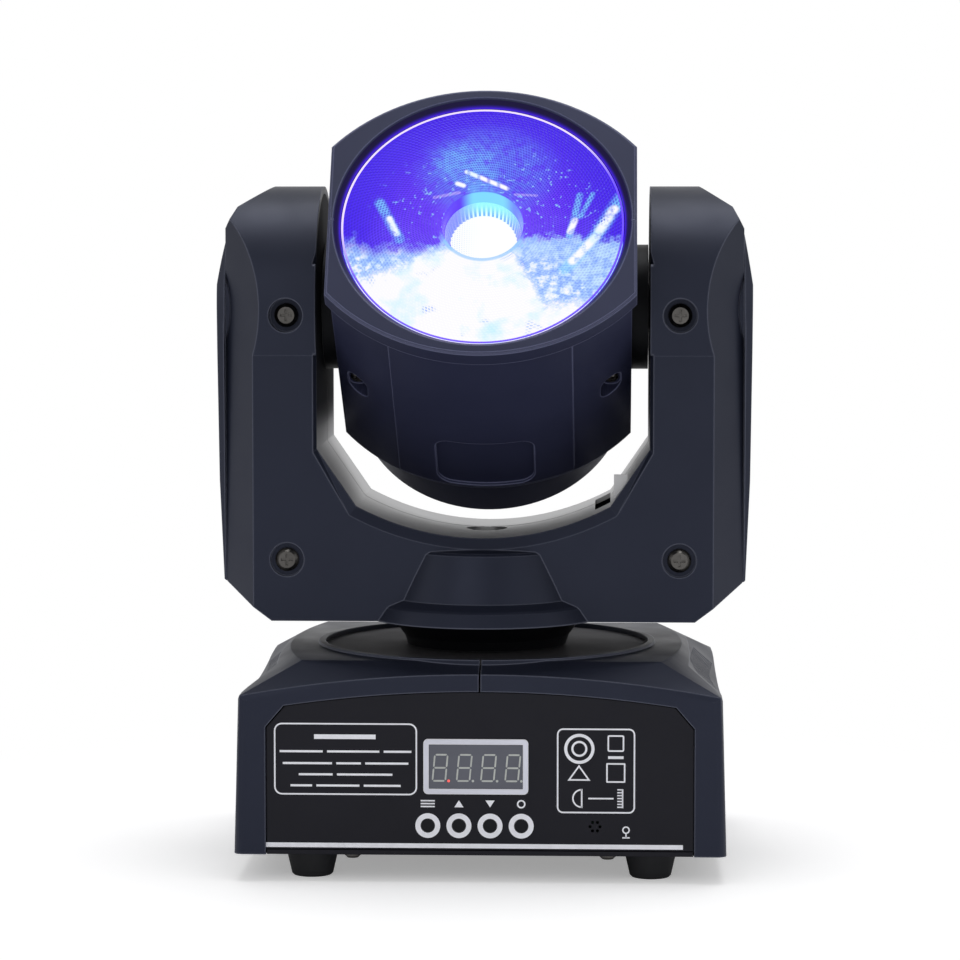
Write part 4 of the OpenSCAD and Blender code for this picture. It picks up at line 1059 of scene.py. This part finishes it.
    def lay_cup(self, s, face):
        """The cup's lower edge, and its wall: cyan at the top, violet and blue at the flanks."""
        lip = self.ramp(abs(self.away - (CUP - 0.1)), 1.1, 0.3, smooth=True)
        self.lay(lip * self.ramp(self.up, -2, -8, smooth=True) * 0.75, (0.30, 0.62, 1.0))
        flank = self.mix(self.ramp(self.across, -6, 6), (0.09, 0.015, 0.86), (0.12, 0.20, 0.97))
        top = self.ramp(abs(self.across - 1.5), 9.5, 4.5, smooth=True)
        wall = self.mix(top * self.ramp(self.up, 2, 7, smooth=True), flank, s.core)
        wall = self.mix(self.ramp(self.up, -4.0, -9.0, smooth=True), wall, (0.45, 0.85, 1.0))
        inside = self.ramp(self.out, face / MM - 0.4, face / MM - 0.9)
        self.lay(inside * self.ramp(self.away, CUP + 0.5, CUP), wall)


class STAGELIGHT_OT_lens(Piece):
    """Light up the dotted lens, its cup, core and lit surround"""
    bl_idname = "stagelight.lens"
    bl_label = "Lens"

    def build(self):
        s = settings("lens")
        axes = head_axes()
        local = axes.inverted()
        co = np.array([local @ v.co for v in frame["nodes"]["front_lens"].data.vertices])
        face, radius = float(co[:, 2].max()), float(np.abs(co[:, 0]).max())
        give(LensFinish(s, face), ["front_lens"])

        # the white dome at the bottom of the cup, and the flutes round it
        at = local @ place("lens_core", ["front_lens"])
        wide, rise = 11.2 * MM, 2.6 * MM
        rows = [(wide * math.cos(a), at.z + rise * math.sin(a), 0)
                for a in (math.pi / 2 * i / 10 for i in range(10))]
        rows.append((0.25 * MM, at.z + rise, 0))
        turned_piece("lens_core", rows, axes @ Matrix.Translation((at.x, at.y, 0)), 72,
                     self.core(), "head", close=True)
        rows = [(r * MM, at.z + h * MM, deep * MM) for r, h, deep in (
            (11.55, 0.2, 0.5), (11.9, 2.8, 0.5), (12.25, 5.6, 0.35), (12.6, 8.4, 0))]
        turned_piece("core_flutes", rows, axes, s.flutes * 8, self.fluting(s, face), "head",
                     flutes=s.flutes)

        # the lit wall round the lens, and a painted highlight along the lens's edge
        rows = [(radius + (0.24 + 0.75 * h) * MM, face + h * MM, 0) for h in (0.05, 1.0, 2.0, 2.6)]
        turned_piece("lit_surround", rows, axes, 144, self.surround(face), "head")
        rows = [(radius + x * MM, face + h * MM, 0) for x, h in (
            (-0.7, 0.02), (-0.45, 0.2), (-0.1, 0.2), (0, 0.02))]
        turned_piece("lens_edge_line", rows, axes, 144, self.edge_line(), "head")

    def core(self):
        """The white glowing bottom of the cup, with fine rows of dots at one side."""
        f = HeadFinish("lens_core_light", (0.05, 0.06, 0.08), 0.4)
        dots = f.add("TexVoronoi", {"Vector": f.spot, "Scale": 1.25, "Randomness": 0.0},
                     voronoi_dimensions="2D").outputs["Distance"]
        fade = f.ramp(dots, 0.3, 0.18) * f.ramp(f.across, 1.0, -8.0, 0.0, 0.5)
        f.glow(f.mix(fade, (1, 1, 1), (0.40, 0.55, 0.9)), 0.97)
        f.bump(dots, 0.1 * MM, 0.3)
        return f.material

    def fluting(self, s, face):
        """Flutes round the core: white crests over cool blue, violet away from the top right."""
        f = HeadFinish("core_flute_light", (0.2, 0.4, 0.6), 0.25)
        turn = f.math("ARCTAN2", f.up, f.across) * s.flutes
        crest = f.ramp(f.math("COSINE", turn), -0.2, 0.7)
        rise = f.ramp(f.out, face / MM - 13.0, face / MM - 6.0, smooth=True)
        lean = f.ramp(f.up, 2.0, 11.0) * f.ramp(f.across, -9.0, -2.0)
        deep = f.mix(lean, (0.08, 0.02, 0.75), (0.02, 0.12, 0.55))
        high = f.mix(lean, (0.13, 0.04, 0.97), s.core)
        ridge = f.mix(lean, (0.17, 0.07, 1.0), (0.90, 1.0, 1.0))
        f.glow(f.mix(rise, f.mix(crest, deep, ridge), high), 0.95)
        f.bump(crest, 0.1 * MM, 0.3)
        return f.material

    def surround(self, face):
        """The recess wall that the lens lights."""
        f = HeadFinish("surround_light", (0.01, 0.006, 0.04), 0.4)
        near = f.ramp(f.out, face / MM + 1.5, face / MM + 0.1)
        f.glow(f.mix(near * near, (0.004, 0.003, 0.012), (0.06, 0.012, 0.85)), 0.9)
        f.set(f.shader, {"Specular IOR Level": 0.1})
        f.bump(f.noise(2500, 2), 0.02 * MM, 0.3)
        return f.material

    def edge_line(self):
        """A painted highlight along the lens's edge, strongest at its upper left."""
        f = HeadFinish("lens_edge_painted_highlight", (0.1, 0.08, 0.3), 0.2)
        lean = f.up - f.across * 0.45
        f.glow(f.mix(f.ramp(lean, -6.0, 26.0, smooth=True), (0.10, 0.03, 0.95),
                     (0.85, 0.72, 1.0)), 1.0)
        f.bump(f.noise(1500, 2), 0.01 * MM, 0.2)
        return f.material


class STAGELIGHT_OT_yoke_trim(Piece):
    """Scribe the fine groove along the brushed strip"""
    bl_idname = "stagelight.yoke_trim"
    bl_label = "Yoke trim"

    def build(self):
        groove = machined("groove_shadow", (0.10, 0.10, 0.11), 0.5, 0)
        at = place("strip_groove", ["yoke_frame"])
        tree = carrier_tree(["yoke_frame"])
        pivot = head_axes().to_translation()
        line, verts, faces, run = 0.4 * MM, [], [], 0
        first, sweep, steps = -154, 128, 130  # degrees round the bend, seen from the tilt axis
        for i in range(steps + 1):
            a = math.radians(first + i * sweep / steps)
            ray = Vector((math.cos(a), 0, math.sin(a)))
            hit = tree.ray_cast(Vector((0, at.y, pivot.z)), ray)[0]
            if hit is None:  # the slot of the stop tab
                run = 0
                continue
            n = len(verts)
            for y, lift in ((-line / 2, 0.0), (-line / 2, 0.04 * MM), (line / 2, 0.04 * MM),
                            (line / 2, 0.0)):
                verts.append((hit.x - ray.x * lift, hit.y + y, hit.z - ray.z * lift))
            if run:
                faces += [[n - 4 + j, n - 3 + j, n + 1 + j, n + j] for j in range(3)]
            run += 1
        add_piece("strip_groove", verts, faces, groove.material, "yoke")


class STAGELIGHT_OT_rear_print(Piece):
    """Print plain outlines and arrows round the rear sockets"""
    bl_idname = "stagelight.rear_print"
    bl_label = "Rear printing"

    def build(self):
        s = settings("print")
        ink = printing_ink("rear_ink", s.ink)
        shapes = []
        for node, grow in (("dmx_in_socket", 1.5), ("dmx_out_socket", 1.5), ("power_inlet", 1.2)):
            lo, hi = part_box(node)
            shapes += box_outline(-(lo.x + hi.x) / 2, (lo.z + hi.z) / 2,
                                  hi.x - lo.x + 2 * grow * MM, hi.z - lo.z + 2 * grow * MM,
                                  3.2 * MM, s.line)
        lo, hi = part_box("fuse_holder")
        shapes += ring_outline(-(lo.x + hi.x) / 2, (lo.z + hi.z) / 2, 8.6 * MM, 8.1 * MM)
        for node, way in (("dmx_in_socket", -1), ("dmx_out_socket", 1)):
            lo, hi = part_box(node)
            x, y = -(lo.x + hi.x) / 2, lo.z - 4.0 * MM
            loop = [(x - 2 * MM, y - way * 1.1 * MM), (x + 2 * MM, y - way * 1.1 * MM),
                    (x, y + way * 1.3 * MM)]
            shapes.append(loop if way > 0 else loop[::-1])
        lo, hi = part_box("rear_panel")
        flat_piece("rear_signs", shapes, Matrix.Translation((0, hi.y, 0)) @ REAR, s.relief,
                   ink.material, "base")


# ---------- panel, registration and run ----------

class STAGELIGHT_PT_panel(bpy.types.Panel):
    """Lists the steps and their settings"""
    bl_label = "Moving head light"
    bl_idname = "STAGELIGHT_PT_panel"
    bl_space_type = "VIEW_3D"
    bl_region_type = "UI"
    bl_category = "Light"

    def draw(self, context):
        for group in GROUPS:
            box = self.layout.box()
            box.label(text=group.capitalize())
            for name in GROUPS[group].__annotations__:
                box.prop(getattr(context.scene, "stagelight_" + group), name)
        for step in STEPS:
            self.layout.operator(step.bl_idname)


GROUPS = {"camera": CameraSettings, "housing": HousingSettings, "print": PrintSettings,
          "display": DisplaySettings, "lens": LensSettings, "stage": StageSettings}
STEPS = [STAGELIGHT_OT_camera, STAGELIGHT_OT_stage, STAGELIGHT_OT_housing,
         STAGELIGHT_OT_metalwork, STAGELIGHT_OT_electronics, STAGELIGHT_OT_display,
         STAGELIGHT_OT_panel_print, STAGELIGHT_OT_lens, STAGELIGHT_OT_yoke_trim,
         STAGELIGHT_OT_rear_print]


def register():
    for cls in [*GROUPS.values(), *STEPS, STAGELIGHT_PT_panel]:
        bpy.utils.register_class(cls)
    for name, cls in GROUPS.items():
        setattr(bpy.types.Scene, "stagelight_" + name, PointerProperty(type=cls))


def unregister():
    for name in GROUPS:
        delattr(bpy.types.Scene, "stagelight_" + name)
    for cls in [STAGELIGHT_PT_panel, *reversed(STEPS), *reversed(GROUPS.values())]:
        bpy.utils.unregister_class(cls)


def write_points():
    """Works out where each thing shows in the picture, for each of its points."""
    flat = np.concatenate([project(mesh_places(o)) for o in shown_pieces()])
    low, high = flat.min(0), flat.max(0)
    found = {"object_left": (low[0], None), "object_right": (high[0], None),
             "object_top": (None, low[1]), "object_bottom": (None, high[1])}
    for name in ("lens_core", "left_box", "right_box", "pickup_mark", "panel_line"):
        found[name] = seen_middle(name)
    found["digits"] = seen_middle("unlit_segments")
    ring_reach, groove_reach = 4.5 * MM, 6  # the second one in pixels
    for name in ("menu", "enter"):
        lo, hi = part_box(name + "_button")
        found[name + "_ring"] = seen_middle(
            "key_rings", lambda p: np.abs(p[:, 0] - (lo.x + hi.x) / 2) < ring_reach)
    x = POINTS["strip_groove"][0]
    found["strip_groove"] = (None, seen_middle(
        "strip_groove", lambda p: np.abs(project(p)[:, 0] - x) < groove_reach)[1])
    for name, (px, py) in POINTS.items():
        x, y = found[name]


def main():
    register()
    for step in STEPS:
        area, name = step.bl_idname.split(".")
        getattr(getattr(bpy.ops, area), name)()
    write_points()


if __name__ == "__main__":
    main()
